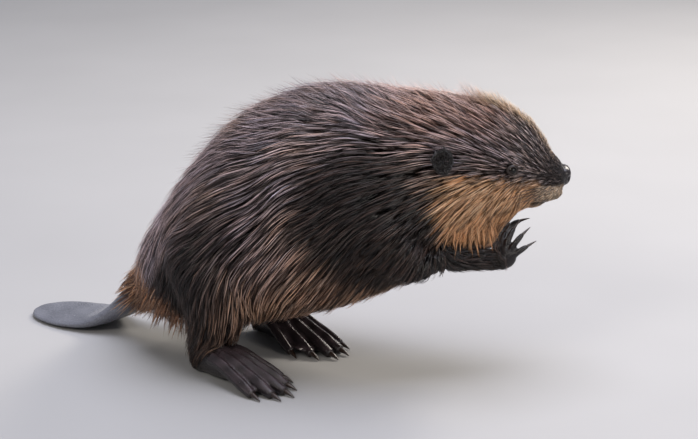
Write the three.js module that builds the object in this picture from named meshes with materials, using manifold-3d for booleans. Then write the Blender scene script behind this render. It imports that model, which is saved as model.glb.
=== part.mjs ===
// A life-size beaver, still, standing on its hind feet and tail and leaning forward with both hands raised.
//
// Millimetres, +Z up, the floor at z = 0. The animal faces +X and its right side faces -Y.
// The whole body is one form, lofted along the spine from the rump to the nose. The legs, arms and
// tail are lofts that grow out of it. Thin cuts then part the forms where a person would name them.
import * as THREE from "three";
import { mergeVertices } from "three/addons/utils/BufferGeometryUtils.js";
import Module from "manifold-3d";

const wasm = await Module();
wasm.setup();

// ---- driving dimensions ----
const ORIGIN = [16, -15]; // x and y of the body's own axis cross in the part's frame
const GAP = 0.3; // between neighbouring pieces
const HEAD_Y = -47; // the head's middle plane
const STRAIGHT_X = 200; // ahead of this the spine runs straight along +X
const SPINE_BEND = 0.00085; // how fast the spine turns behind it, per mm
const HIP = { x: -67, y: 8, turn: -30 }; // middle of the hips, and the way they face, in degrees
const FOOT_LENGTH = 152; // heel to the tip of the longest toe, without its claw
const EYE_RADIUS = 7;

// Sections of the body from rump to nose: x, z of the middle, half width, height above the middle,
// depth below it, squareness, and how much narrower the top is than the bottom
const BODY = [
  [-203, 92, 40, 30, 34, 2.0, 0.02],
  [-176, 106, 84, 60, 66, 2.1, 0.05],
  [-133, 129, 118, 92, 92, 2.2, 0.08],
  [-73, 164, 138, 126, 120, 2.25, 0.1],
  [-7, 204, 136, 152, 142, 2.25, 0.1],
  [60, 230, 122, 158, 144, 2.2, 0.1],
  [127, 247, 106, 142, 132, 2.15, 0.1],
  [187, 262, 88, 121, 112, 2.1, 0.1],
  [232, 270, 73, 103, 109, 2.1, 0.12],
  [256, 272, 60, 95, 90, 2.1, 0.15],
  [280, 271, 47, 79, 68, 2.1, 0.12],
  [300, 268, 39, 61, 50, 2.15, 0.1],
  [320, 265, 32, 40, 35, 2.2, 0.1],
  [336, 264, 26, 24, 21, 2.3, 0.05],
  [346, 264, 18, 14, 13, 2.2, 0],
];
const BODY_ENDS = [-211, 351]; // x of the tips behind the first section and ahead of the last

const spineY = (x) =>
  HEAD_Y + SPINE_BEND * Math.max(0, STRAIGHT_X - x) ** 2;

// ---- solids from closed meshes ----
function solid(geometry) {
  const bare = geometry.index ? geometry.toNonIndexed() : geometry.clone();
  const merged = mergeVertices(
    new THREE.BufferGeometry().setAttribute("position", bare.getAttribute("position")),
    1e-4,
  );
  return new wasm.Manifold(
    new wasm.Mesh({
      numProp: 3,
      vertProperties: new Float32Array(merged.attributes.position.array),
      triVerts: new Uint32Array(merged.index.array),
    }),
  );
}

// A closed skin over rings of points, with a tip at each end.
function overRings(rings, first, last) {
  const around = rings[0].length;
  const points = [first, ...rings.flat(), last];
  const faces = [];
  const at = (ring, i) => 1 + ring * around + (i % around);
  for (let i = 0; i < around; i++) {
    faces.push(0, at(0, i + 1), at(0, i));
    for (let r = 0; r + 1 < rings.length; r++) {
      faces.push(at(r, i), at(r, i + 1), at(r + 1, i + 1));
      faces.push(at(r, i), at(r + 1, i + 1), at(r + 1, i));
    }
    faces.push(points.length - 1, at(rings.length - 1, i), at(rings.length - 1, i + 1));
  }
  const geometry = new THREE.BufferGeometry();
  geometry.setFromPoints(points);
  geometry.setIndex(faces);
  const made = solid(geometry);
  if (made.volume() > 0) return made;
  for (let i = 0; i < faces.length; i += 3) [faces[i], faces[i + 1]] = [faces[i + 1], faces[i]];
  geometry.setIndex(faces);
  return solid(geometry);
}

// A loft through sections {at, side, up, down, power, pear}. Each ring is a rounded oval, square to the
// path: side is its half width along sideAxis, up and down its reach either way across that.
// Power squares its corners, and pear draws it in at the top.
function loft(sections, { sideAxis, around, along, ends, grow = 0 }) {
  const path = new THREE.CatmullRomCurve3(
    sections.map((s) => new THREE.Vector3(...s.at)), false, "catmullrom", 0.5);
  const sizes = new THREE.CatmullRomCurve3(
    sections.map((s) => new THREE.Vector3(s.side, s.up, s.down)), false, "catmullrom", 0.5);
  const shapes = new THREE.CatmullRomCurve3(
    sections.map((s) => new THREE.Vector3(s.power ?? 2, s.pear ?? 0, 0)), false, "catmullrom", 0.5);
  const rings = [];
  for (let k = 0; k <= along; k++) {
    const t = k / along;
    const middle = path.getPoint(t);
    const ahead = path.getTangent(t);
    const side = sideAxis.clone().addScaledVector(ahead, -sideAxis.dot(ahead)).normalize();
    const up = ahead.clone().cross(side);
    const size = sizes.getPoint(t);
    const { x: power, y: pear } = shapes.getPoint(t);
    const round = 2 / power;
    const ring = [];
    for (let i = 0; i < around; i++) {
      const a = (2 * Math.PI * i) / around;
      const c = Math.sign(Math.cos(a)) * Math.abs(Math.cos(a)) ** round;
      const s = Math.sign(Math.sin(a)) * Math.abs(Math.sin(a)) ** round;
      const reach = (s > 0 ? size.y : size.z) + grow;
      ring.push(
        middle.clone()
          .addScaledVector(side, c * (size.x + grow) * (1 - pear * s))
          .addScaledVector(up, s * reach),
      );
    }
    rings.push(ring);
  }
  const tip = (t, by) => path.getPoint(t).addScaledVector(path.getTangent(t), by + Math.sign(by) * grow);
  return overRings(rings, tip(0, -ends[0]), tip(1, ends[1]));
}

// A round-tipped limb or digit along points, with one radius at each, or [side, thickness].
function limb(points, radii, { sideAxis = new THREE.Vector3(0, 1, 0), around = 10, along = 8,
  grow = 0, ends } = {}) {
  const sections = points.map((at, i) => {
    const [side, up, down = up] = [radii[i]].flat().length > 1 ? radii[i] : [radii[i], radii[i]];
    return { at, side, up, down };
  });
  const last = sections.at(-1);
  return loft(sections, { sideAxis, around, along, grow, ends: ends ?? [sections[0].up * 0.5, last.up * 0.5] });
}

function ball(at, radii, { detail = 16, turn = [0, 0, 0], grow = 0 } = {}) {
  const geometry = new THREE.SphereGeometry(1, detail, Math.max(6, detail * 0.6));
  geometry.scale(...radii.map((r) => r + grow));
  geometry.rotateX(turn[0]).rotateY(turn[1]).rotateZ(turn[2]);
  geometry.translate(...at);
  return solid(geometry);
}

// Everything on the side of a plane that its normal points to.
function beyond(point, normal, size = 1200) {
  const geometry = new THREE.BoxGeometry(size, size, size);
  geometry.translate(0, 0, size / 2);
  geometry.applyQuaternion(
    new THREE.Quaternion().setFromUnitVectors(
      new THREE.Vector3(0, 0, 1), new THREE.Vector3(...normal).normalize()));
  geometry.translate(...point);
  return solid(geometry);
}

const ABOVE_FLOOR = beyond([0, 0, 0], [0, 0, 1]);

const join = (solids) => solids.reduce((all, one) => all.add(one));

// The largest body of a cut solid: slivers left by a cut are dropped.
function largest(made) {
  const bodies = made.decompose();
  return bodies.reduce((best, one) => (one.volume() > best.volume() ? one : best));
}

// Cuts a solid across by planes {at, normal} in order along it, with a gap at each cut.
function divide(whole, planes) {
  const pieces = [];
  for (let i = 0; i <= planes.length; i++) {
    let piece = whole;
    if (i > 0) {
      const { at, normal } = planes[i - 1];
      const n = new THREE.Vector3(...normal).normalize();
      piece = piece.intersect(beyond(new THREE.Vector3(...at).addScaledVector(n, GAP / 2).toArray(), normal));
    }
    if (i < planes.length) {
      const { at, normal } = planes[i];
      const n = new THREE.Vector3(...normal).normalize();
      const back = n.clone().negate();
      piece = piece.intersect(
        beyond(new THREE.Vector3(...at).addScaledVector(n, -GAP / 2).toArray(), back.toArray()));
    }
    pieces.push(largest(piece));
  }
  return pieces;
}

// ---- the body: rump, loins, chest, neck and head in one ----
const EYE = { x: 274, z: 283, out: 44.5 };
const EAR = { x: 185, z: 304, out: 87 };

function bodyForm(grow = 0) {
  const sections = BODY.map(([x, z, side, up, down, power, pear]) => ({
    at: [x, spineY(x), z], side, up, down, power, pear,
  }));
  const ends = [BODY[0][0] - BODY_ENDS[0], BODY_ENDS[1] - BODY.at(-1)[0]];
  const trunk = loft(sections, {
    sideAxis: new THREE.Vector3(0, 1, 0), around: 22, along: 28, ends, grow,
  });
  const lips = [-1, 1].map((s) =>
    ball([319, HEAD_Y + s * 17, 248], [25, 19, 17], { detail: 9, grow }));
  const cheeks = [-1, 1].map((s) =>
    ball([247, HEAD_Y + s * 28, 243], [50, 36, 46], { detail: 10, grow }));
  const chin = ball([303, HEAD_Y, 236], [23, 21, 16], { detail: 9, grow });
  return join([trunk, ...lips, ...cheeks, chin]);
}

const noseForm = (grow = 0) => ball([342, HEAD_Y, 265], [13, 18, 14], { detail: 11, turn: [0, 0.4, 0], grow });
const eyeForm = (s, grow = 0) =>
  ball([EYE.x, HEAD_Y + s * EYE.out, EYE.z], [EYE_RADIUS, EYE_RADIUS, EYE_RADIUS], { detail: 10, grow });

// ---- hind legs ----
// Places are given from the middle of the hips: ahead, outwards and up.
function hipPlace(s, ahead, out, up) {
  const turn = THREE.MathUtils.degToRad(HIP.turn);
  const [c, n] = [Math.cos(turn), Math.sin(turn)];
  return [HIP.x + ahead * c - s * out * n, HIP.y + ahead * n + s * out * c, up];
}

// s is -1 on the right and 1 on the left; stride is how far ahead that foot stands
const LEGS = {
  right: { s: -1, stride: 17, heading: -42 },
  left: { s: 1, stride: 0, heading: -50 },
};

// The leg from hip to heel: ahead, outwards and up, half width, half depth
const LEG = [
  [-14, 50, 198, 50, 72],
  [-2, 82, 150, 56, 75],
  [1, 92, 108, 46, 57],
  [-12, 92, 70, 35, 39],
  [-25, 91, 42, 26, 27],
  [-33, 90, 20, 21, 22],
];

function legForm({ s, stride }, grow = 0) {
  const share = (up) => Math.min(1, (196 - up) / 150); // of the stride, from none at the hip
  const places = LEG.map(([ahead, out, up]) => hipPlace(s, ahead + stride * share(up), out, up));
  return limb(places, LEG.map((row) => row.slice(3)), {
    sideAxis: new THREE.Vector3(0, 1, 0), around: 15, along: 9, grow, ends: [20, 8],
  });
}

// Toes of a hind foot, inner to outer: length as a share of the foot, place across it at the root
// and at the tip, and radius at the root
const TOES = [
  [0.74, -17, -38, 7.5],
  [0.9, -9, -21, 8.5],
  [1.0, 0, -1, 9.5],
  [0.98, 9, 19, 9.5],
  [0.85, 17, 36, 8.5],
];

// Turns a place on a foot (ahead of the heel, outwards, up) into a place in the frame.
function footPlacer(leg) {
  const heel = hipPlace(leg.s, -40 + leg.stride, 89, 0);
  const turn = THREE.MathUtils.degToRad(leg.heading);
  const [c, n] = [Math.cos(turn), Math.sin(turn)];
  return (ahead, out, up) => [
    heel[0] + ahead * c - leg.s * out * n, heel[1] + ahead * n + leg.s * out * c, up,
  ];
}

const TOE_STEPS = [0.34, 0.5, 0.68, 0.85, 1.0]; // places along a toe, as shares of its reach
const TOE_RISE = [31, 28, 20, 12.5, 5.5]; // height of the toe's middle there
const TOE_TAPER = [1.1, 1.0, 0.94, 0.95, 0.74]; // radius there, as a share of the root's

function toePlaces(leg, [share, rootAcross, tipAcross]) {
  const place = footPlacer(leg);
  return TOE_STEPS.map((t, i) =>
    place(t * share * FOOT_LENGTH, THREE.MathUtils.lerp(rootAcross, tipAcross, t), TOE_RISE[i]));
}

// Heel, sole and the web between the toes in one: ahead, height of the middle, half width, half height
const SOLE = [
  [-2, 13, 17, 15],
  [26, 21, 21, 23],
  [58, 19, 27, 20],
  [88, 10, 33, 11],
  [116, 6, 37, 6.5],
  [127, 4, 36, 4.5],
];

function footForm(leg, grow = 0) {
  const place = footPlacer(leg);
  const sole = limb(
    SOLE.map(([ahead, up]) => place(ahead, 0, up)), SOLE.map((row) => row.slice(2)),
    { around: 12, along: 5, grow, ends: [6, 2] },
  );
  const toes = TOES.map((toe) =>
    limb(toePlaces(leg, toe), TOE_TAPER.map((k) => toe[3] * k), { around: 6, along: 4, grow }));
  return join([sole, ...toes]);
}

// A claw: a curved spike from inside the end of a digit, bending down by droop.
function clawForm(from, to, { length, radius, droop, up = [0, 0, 1] }) {
  const ahead = new THREE.Vector3(...to).sub(new THREE.Vector3(...from)).normalize();
  const start = new THREE.Vector3(...to).addScaledVector(ahead, -radius);
  const down = new THREE.Vector3(...up).negate();
  const points = [0, 0.4, 0.75, 1].map((t) =>
    start.clone().addScaledVector(ahead, (length + radius) * t).addScaledVector(down, droop * t * t).toArray());
  const side = ahead.clone().cross(down).normalize();
  return (grow = 0) =>
    limb(points, [radius, radius * 0.85, radius * 0.6, radius * 0.22], {
      sideAxis: side, around: 5, along: 3, grow,
    });
}

const footClaws = (leg) =>
  TOES.map((toe) => {
    const places = toePlaces(leg, toe);
    const tip = places.at(-1);
    return clawForm([places.at(-2)[0], places.at(-2)[1], tip[2] + 2], [tip[0], tip[1], tip[2] + 1.5],
      { length: 17, radius: 4.4, droop: 5 });
  });

// ---- arms and hands ----
// Places are given ahead, outwards from the head's middle plane, and up.
const ARMS = {
  right: { s: -1, drop: 0 },
  left: { s: 1, drop: 2 },
};
const armPlace = (s, ahead, out, up) => [ahead, HEAD_Y + s * out, up];

// The arm from shoulder to wrist: ahead, out, up, half width, half depth
const ARM = [
  [88, 66, 232, 38, 58],
  [114, 76, 196, 38, 50],
  [144, 74, 170, 33, 34],
  [180, 60, 170, 24, 23.5],
  [215, 55, 169, 19, 18.5],
  [242, 52, 166, 15, 15],
  [257, 52, 164, 13, 13],
];
const armForm = ({ s, drop }, grow = 0) =>
  limb(
    ARM.map(([ahead, out, up], i) => armPlace(s, ahead, out, up - (drop * i) / (ARM.length - 1))),
    ARM.map((row) => row.slice(3)),
    { around: 12, along: 10, grow, ends: [20, 5] },
  );

// The hand is raised, with the palm facing forwards and inwards: its own axes, ahead, outwards and up
const HAND = {
  wrist: [257, 52, 162.5],
  palm: [268, 57, 170],
  facing: new THREE.Vector3(Math.cos(0.9), -Math.sin(0.9), 0),
  pointing: new THREE.Vector3(0.26, 0.1, 0.96).normalize(),
};
HAND.across = HAND.pointing.clone().cross(HAND.facing).normalize(); // outwards, over the knuckles

// Fingers from the thumb round to the little finger: angle from pointing towards across, in degrees;
// place of the root across the palm and along it; length
const FINGERS = [
  [-66, -9, -3, 14],
  [-24, -8.5, 6, 22],
  [-8, -3.2, 9, 27],
  [10, 3.2, 8.5, 26],
  [31, 8.5, 4.5, 21],
];

function fingerPlaces({ s, drop }, [angle, acrossRoot, alongRoot, length]) {
  const turn = THREE.MathUtils.degToRad(angle);
  const ahead = HAND.pointing.clone().multiplyScalar(Math.cos(turn))
    .addScaledVector(HAND.across, Math.sin(turn));
  const root = new THREE.Vector3(...HAND.palm).addScaledVector(HAND.across, acrossRoot)
    .addScaledVector(HAND.pointing, alongRoot);
  const curl = 10; // how far the tip bends towards what the palm faces
  return [0, 0.4, 0.75, 1].map((t) => {
    const p = root.clone().addScaledVector(ahead, length * t)
      .addScaledVector(HAND.facing, curl * t * t - 4 * (t - t * t));
    return armPlace(s, p.x, p.y, p.z - drop);
  });
}

function handForm(arm, grow = 0) {
  const middle = (place) => armPlace(arm.s, place[0], place[1], place[2] - arm.drop);
  const knuckles = new THREE.Vector3(...HAND.palm).addScaledVector(HAND.pointing, 11).toArray();
  const side = new THREE.Vector3(...armPlace(arm.s, ...HAND.across)).sub(
    new THREE.Vector3(...armPlace(arm.s, 0, 0, 0)));
  const palm = limb([middle(HAND.wrist), middle(HAND.palm), middle(knuckles)],
    [[12, 11.5], [14.6, 9.3], [12.5, 6.7]], { sideAxis: side, around: 8, along: 3, grow, ends: [4, 4] });
  const fingers = FINGERS.map((finger) =>
    limb(fingerPlaces(arm, finger), [4.7, 4.2, 4, 3.1], { sideAxis: side, around: 5, along: 3, grow }));
  return join([palm, ...fingers]);
}

const handClaws = (arm) =>
  FINGERS.map((finger) => {
    const places = fingerPlaces(arm, finger);
    const away = [-HAND.facing.x, -arm.s * HAND.facing.y, -HAND.facing.z];
    return clawForm(places.at(-2), places.at(-1), { length: 11, radius: 2.4, droop: 4.5, up: away });
  });

// ---- tail ----
// x, y, z of the middle, half width, half thickness
const TAIL = [
  [-158, 58, 104, 50, 48],
  [-190, 77, 88, 41, 40],
  [-220, 95, 60, 34, 25],
  [-248, 112, 32, 40, 15],
  [-280, 131, 12, 50, 10],
  [-316, 154, 6, 54, 7.5],
  [-346, 172.5, 5, 47.5, 6.5],
  [-365, 184, 4.5, 36, 5.5],
  [-377, 191.5, 4, 18.5, 4.5],
];
const FUR_LINE = { at: [-212, 90, 66], normal: [-0.68, 0.42, -0.6] };

const tailForm = (grow = 0) =>
  loft(TAIL.map(([x, y, z, side, thick]) => ({ at: [x, y, z], side, up: thick, down: thick, power: 2.2 })), {
    sideAxis: new THREE.Vector3(-0.53, -0.85, 0), around: 14, along: 16, ends: [15, 3], grow,
  });

// ---- ears: a thick rounded leaf, hollowed on the face that looks forwards and out ----
function earForm(s) {
  const at = [EAR.x, HEAD_Y + s * EAR.out, EAR.z];
  const turn = [s * -0.15, -0.1, s * 0.95];
  const [ahead, out] = [Math.cos(0.95), Math.sin(0.95)];
  const leaf = ball(at, [7, 16, 20], { detail: 11, turn });
  const hollow = ball([at[0] + 10 * ahead, at[1] + s * 10 * out, at[2] + 2], [8, 11, 14], { detail: 8, turn });
  return leaf.subtract(hollow);
}

// ---- parting into nodes ----
const FUR_DARK = new THREE.MeshStandardMaterial({ color: 0x33241d, roughness: 0.55 });
const FUR_CHEEK = new THREE.MeshStandardMaterial({ color: 0x8a5a34, roughness: 0.6 });
const SKIN = new THREE.MeshStandardMaterial({ color: 0x3b3230, roughness: 0.45 });
const TAIL_SKIN = new THREE.MeshStandardMaterial({ color: 0x53555d, roughness: 0.5 });
const NOSE_SKIN = new THREE.MeshStandardMaterial({ color: 0x1d1a1c, roughness: 0.35 });
const EYE_SHINE = new THREE.MeshStandardMaterial({ color: 0x0b0908, roughness: 0.08 });
const CLAW_HORN = new THREE.MeshStandardMaterial({ color: 0x2a2220, roughness: 0.35 });

const beaver = new THREE.Group();
beaver.position.set(...ORIGIN, 0);

function addNode(name, made, material) {
  const mesh = largest(made).getMesh();
  const geometry = new THREE.BufferGeometry();
  geometry.setAttribute("position", new THREE.BufferAttribute(new Float32Array(mesh.vertProperties), 3));
  geometry.setIndex(new THREE.BufferAttribute(new Uint32Array(mesh.triVerts), 1));
  geometry.computeVertexNormals();
  const node = new THREE.Mesh(geometry, material);
  node.name = name;
  beaver.add(node);
}

// A plane across the spine at x, leaning as the body does there.
const across = (x, z, lean) => ({
  at: [x, spineY(x), z],
  normal: [Math.cos(lean), -2 * SPINE_BEND * Math.max(0, STRAIGHT_X - x) * Math.cos(lean), Math.sin(lean)],
});

const eyes = { right: -1, left: 1 };
const bodyWhole = bodyForm()
  .subtract(noseForm(GAP))
  .subtract(eyeForm(-1, GAP))
  .subtract(eyeForm(1, GAP));
const bodyRoom = bodyForm(GAP);
const [rump, loins, chest, neck, headAll] = divide(bodyWhole, [
  across(-78, 162, 0.5),
  across(48, 226, 0.32),
  across(136, 250, 0.26),
  across(204, 266, 0.22),
]);
addNode("rump", rump, FUR_DARK);
addNode("loins", loins, FUR_DARK);
addNode("chest", chest, FUR_DARK);
addNode("neck", neck, FUR_DARK);

const MOUTH = { at: [320, HEAD_Y, 235], normal: [-0.12, 0, 1] };
const JAW_BACK = { at: [270, HEAD_Y, 232], normal: [1, 0, 0.5] };
const jawRoom = beyond(MOUTH.at, MOUTH.normal.map((n) => -n)).intersect(beyond(JAW_BACK.at, JAW_BACK.normal));
const lift = new THREE.Vector3(...MOUTH.normal).normalize().multiplyScalar(GAP);
const jawSpace = beyond(
  new THREE.Vector3(...MOUTH.at).add(lift).toArray(), MOUTH.normal.map((n) => -n),
).intersect(beyond([JAW_BACK.at[0] - GAP, JAW_BACK.at[1], JAW_BACK.at[2]], JAW_BACK.normal));
addNode("head", headAll.subtract(jawSpace), FUR_DARK);
addNode("lower_jaw", headAll.intersect(jawRoom), FUR_CHEEK);
addNode("nose", noseForm(), NOSE_SKIN);
for (const [side, s] of Object.entries(eyes)) {
  addNode("eye_" + side, eyeForm(s), EYE_SHINE);
  addNode("ear_" + side, earForm(s).subtract(bodyRoom), SKIN);
}

const [tailRoot, tailBlade] = divide(tailForm().subtract(bodyRoom).intersect(ABOVE_FLOOR), [FUR_LINE]);
addNode("tail_root", tailRoot, FUR_DARK);
addNode("tail", tailBlade, TAIL_SKIN);

for (const [side, leg] of Object.entries(LEGS)) {
  const knee = hipPlace(leg.s, 18 + 0.6 * leg.stride, 92, 100);
  const whole = legForm(leg).subtract(bodyRoom).intersect(ABOVE_FLOOR);
  const [thigh, shank] = divide(whole, [{ at: knee, normal: [-0.35, 0, -1] }]);
  addNode("thigh_" + side, thigh, FUR_DARK);
  addNode("shank_" + side, shank, FUR_DARK);
  const claws = footClaws(leg);
  const foot = claws.reduce((made, claw) => made.subtract(claw(GAP)),
    footForm(leg).intersect(ABOVE_FLOOR).subtract(legForm(leg, GAP)));
  addNode("hind_foot_" + side, foot, SKIN);
  claws.forEach((claw, i) =>
    addNode("toe_claw_" + side + "_" + (i + 1), claw().intersect(ABOVE_FLOOR), CLAW_HORN));
}

for (const [side, arm] of Object.entries(ARMS)) {
  const whole = armForm(arm).subtract(bodyRoom);
  const [upper, fore] = divide(whole, [{ at: armPlace(arm.s, 158, 70, 165), normal: [1, 0, -0.2] }]);
  addNode("upper_arm_" + side, upper, FUR_DARK);
  addNode("forearm_" + side, fore, FUR_DARK);
  const claws = handClaws(arm);
  const hand = claws.reduce((made, claw) => made.subtract(claw(GAP)), handForm(arm).subtract(armForm(arm, GAP)));
  addNode("hand_" + side, hand, SKIN);
  claws.forEach((claw, i) => addNode("finger_claw_" + side + "_" + (i + 1), claw(), CLAW_HORN));
}

export default beaver;
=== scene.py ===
"""A life-size beaver, standing on its hind feet and tail and leaning forward with both hands raised.

The hide is one skin over lofts along the spine, the legs, the arms, the fingers, the toes and the tail,
set in from the animal's outline by the depth of the coat. The coat is mesh locks rooted on that hide.
Tables are in millimetres, in the body's own axes; ORIGIN carries them into the part's frame in metres.
"""
import math

import bpy
import numpy as np
from mathutils import Matrix, Vector


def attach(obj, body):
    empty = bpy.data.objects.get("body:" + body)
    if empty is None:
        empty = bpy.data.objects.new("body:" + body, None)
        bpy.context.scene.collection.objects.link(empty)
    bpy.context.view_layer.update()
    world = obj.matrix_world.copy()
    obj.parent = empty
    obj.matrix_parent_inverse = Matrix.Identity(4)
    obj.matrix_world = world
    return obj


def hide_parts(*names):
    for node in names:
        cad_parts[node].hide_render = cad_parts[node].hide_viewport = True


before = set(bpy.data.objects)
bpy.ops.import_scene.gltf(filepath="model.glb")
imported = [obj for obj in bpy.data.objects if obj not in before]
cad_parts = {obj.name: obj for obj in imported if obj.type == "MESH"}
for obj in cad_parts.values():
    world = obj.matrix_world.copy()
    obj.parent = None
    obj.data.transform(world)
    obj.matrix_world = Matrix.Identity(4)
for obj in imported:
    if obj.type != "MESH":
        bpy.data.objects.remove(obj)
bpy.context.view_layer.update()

MM = 0.001
ORIGIN = np.array([16.0, -15.0, 0.0])
RIGHT, LEFT = -1, 1

# ---------------------------------------------------------------------------------------------
# The animal's measures
# ---------------------------------------------------------------------------------------------
HEAD_Y = -47.0  # the head's middle plane
STRAIGHT_X = 200.0  # ahead of this the spine runs straight
SPINE_BEND = 0.00085
HIP = dict(x=-67.0, y=8.0, turn=math.radians(-30))
FOOT_LENGTH = 152.0
EYE = dict(x=274.0, z=283.0, out=44.5, radius=6.9)
EAR = dict(x=185.0, z=304.0, out=87.0)

# Body from rump to nose: x, z, half width, height above, depth below, squareness, pear, depth of coat
BODY = np.array([
    [-203, 92, 40, 30, 34, 2.0, 0.02, 11],
    [-176, 106, 84, 60, 66, 2.1, 0.05, 15],
    [-133, 129, 118, 92, 92, 2.2, 0.08, 18],
    [-73, 164, 138, 126, 120, 2.25, 0.1, 18],
    [-7, 204, 136, 152, 142, 2.25, 0.1, 18],
    [60, 230, 122, 158, 144, 2.2, 0.1, 18],
    [127, 247, 106, 142, 132, 2.15, 0.1, 17],
    [187, 262, 88, 121, 112, 2.1, 0.1, 15],
    [232, 270, 73, 103, 109, 2.1, 0.12, 12],
    [256, 272, 60, 95, 90, 2.1, 0.15, 8.5],
    [280, 271, 47, 79, 68, 2.1, 0.12, 5],
    [300, 268, 39, 61, 50, 2.15, 0.1, 3],
    [320, 265, 32, 40, 35, 2.2, 0.1, 2],
    [336, 264, 26, 24, 21, 2.3, 0.05, 1.2],
    [346, 264, 18, 14, 13, 2.2, 0, 0.8],
])
BODY_TIPS = (8.0, 5.0)

# Legs from hip to heel: ahead, out, up, half width, half depth, depth of coat
LEG = np.array([
    [-14, 50, 198, 50, 72, 18],
    [-2, 82, 150, 56, 75, 17],
    [1, 92, 108, 46, 57, 15],
    [-12, 92, 70, 35, 39, 11],
    [-25, 91, 42, 26, 27, 6],
    [-33, 90, 20, 21, 22, 2.5],
])
LEGS = {"right": dict(s=RIGHT, stride=17.0, heading=math.radians(-42)),
        "left": dict(s=LEFT, stride=0.0, heading=math.radians(-50))}
# Toes, inner to outer: share of the foot's length, place across at root and tip, radius at the root
TOES = [(0.74, -17, -38, 7.5), (0.9, -9, -21, 8.5), (1.0, 0, -1, 9.5), (0.98, 9, 19, 9.5),
        (0.85, 17, 36, 8.5)]
TOE_STEPS = np.array([0.34, 0.5, 0.68, 0.85, 1.0])
TOE_RISE = np.array([31, 28, 20, 12.5, 5.5])
TOE_TAPER = np.array([1.1, 1.0, 0.94, 0.95, 0.74])
# Heel, sole and web: ahead, height of the middle, half width, half height
SOLE = np.array([[-2, 13, 17, 15], [26, 21, 21, 23], [58, 19, 27, 20], [88, 10, 33, 11],
                 [116, 6, 37, 6.5], [127, 4, 36, 4.5]])

# Arms from shoulder to wrist: ahead, out, up, half width, half depth, depth of coat
ARM = np.array([
    [88, 66, 232, 38, 58, 16],
    [114, 76, 196, 38, 50, 15],
    [144, 74, 170, 33, 34, 12],
    [180, 60, 170, 24, 23.5, 8],
    [215, 55, 169, 19, 18.5, 5],
    [242, 52, 166, 15, 15, 3],
    [257, 52, 164, 13, 13, 1.5],
])
ARMS = {"right": dict(s=RIGHT, drop=0.0), "left": dict(s=LEFT, drop=2.0)}
WRIST = np.array([257.0, 52.0, 162.5])
PALM = np.array([268.0, 57.0, 170.0])
FACING = np.array([math.cos(0.9), -math.sin(0.9), 0.0])
POINTING = np.array([0.26, 0.1, 0.96]) / np.linalg.norm([0.26, 0.1, 0.96])
ACROSS = np.cross(POINTING, FACING) / np.linalg.norm(np.cross(POINTING, FACING))
# Fingers from thumb to little finger: angle, root across and along the palm, length
FINGERS = [(-66, -9, -3, 14), (-24, -8.5, 6, 22), (-8, -3.2, 9, 27), (10, 3.2, 8.5, 26), (31, 8.5, 4.5, 21)]

# Tail: x, y, z, half width, half thickness, depth of coat
TAIL = np.array([
    [-158, 58, 104, 50, 48, 14],
    [-190, 77, 88, 41, 40, 12],
    [-220, 95, 60, 34, 25, 3],
    [-248, 112, 32, 40, 15, 0.8],
    [-280, 131, 12, 50, 10, 0.6],
    [-316, 154, 6, 54, 7.5, 0.6],
    [-346, 172.5, 5, 47.5, 6.5, 0.6],
    [-365, 184, 4.5, 36, 5.5, 0.6],
    [-377, 191.5, 4, 18.5, 4.5, 0.6],
])
FUR_LINE = (np.array([-212.0, 90.0, 66.0]), np.array([-0.68, 0.42, -0.6]) / np.linalg.norm([0.68, 0.42, 0.6]))


# How steeply the coat falls from the body's own long lines, in degrees round the body (below 0 it rises): by
# height on the body, from its widest line (0) up to its top (1) and down to its underside (-1), and by x
FALL_X = [-180, -150, -110, -60, 0, 60, 110, 160, 200, 240, 285, 325]
FALL_HIGH = [-0.7, -0.4, -0.1, 0.2, 0.45, 0.7, 0.9]
FALL = np.array([
    [38, 36, 40, 40, 40, 38, 40, 46, 50, 50, 38, 34],
    [34, 32, 36, 30, 28, 28, 28, 28, 34, 34, 30, 22],
    [32, 30, 30, 20, 22, 20, 16, 14, 16, 24, 24, 6],
    [36, 34, 22, 12, 12, 4, 6, 6, -8, -16, -10, 2],
    [40, 32, 12, 4, 8, -2, -5, -3, -22, -27, -15, -10],
    [42, 20, 2, -5, -3, -15, -24, -18, -28, -30, -15, -10],
    [44, 12, -8, -12, -14, -28, -34, -28, -32, -32, -15, -6],
])


def into_frame(points):
    """Body axes in millimetres to the part's frame in metres."""
    return (np.asarray(points, float) + ORIGIN) * MM


def into_body(points):
    """The part's frame in metres back to body axes in millimetres."""
    return np.asarray(points, float) / MM - ORIGIN


def ease(value, low, high):
    """0 below low, 1 above high, and 3s² - 2s³ between."""
    s = np.clip((value - low) / (high - low), 0, 1)
    return s * s * (3 - 2 * s)


def unit(v):
    """Vectors made one long."""
    return v / np.maximum(np.linalg.norm(v, axis=-1, keepdims=True), 1e-9)


def ripple(points, wavelength, seed, waves=7):
    """A smooth random field from -1 to 1: a mean of sines of random heading, near one wavelength."""
    rng = np.random.default_rng(seed)
    heading = (unit(rng.normal(size=(waves, 3)))
               * (2 * math.pi / (wavelength * rng.uniform(0.7, 1.4, (waves, 1)))))
    return np.sin(points @ heading.T + rng.uniform(0, 2 * math.pi, waves)).mean(1) * 1.6


def curve(rows, t):
    """Catmull-Rom curve through the rows, evenly spaced in t from 0 to 1."""
    rows = np.asarray(rows, float)
    spans = len(rows) - 1
    ext = np.vstack([2 * rows[0] - rows[1], rows, 2 * rows[-1] - rows[-2]])
    s = np.clip(t, 0, 1) * spans
    i = np.minimum(s.astype(int), spans - 1)
    f = (s - i)[:, None]
    a, b, c, d = ext[i], ext[i + 1], ext[i + 2], ext[i + 3]
    return 0.5 * (2 * b + (c - a) * f + (2 * a - 5 * b + 4 * c - d) * f**2 + (3 * b - a - 3 * c + d) * f**3)


def spine_y(x):
    """The spine's y: straight ahead of STRAIGHT_X, and a parabola behind it."""
    return HEAD_Y + SPINE_BEND * np.maximum(0, STRAIGHT_X - x) ** 2


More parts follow.
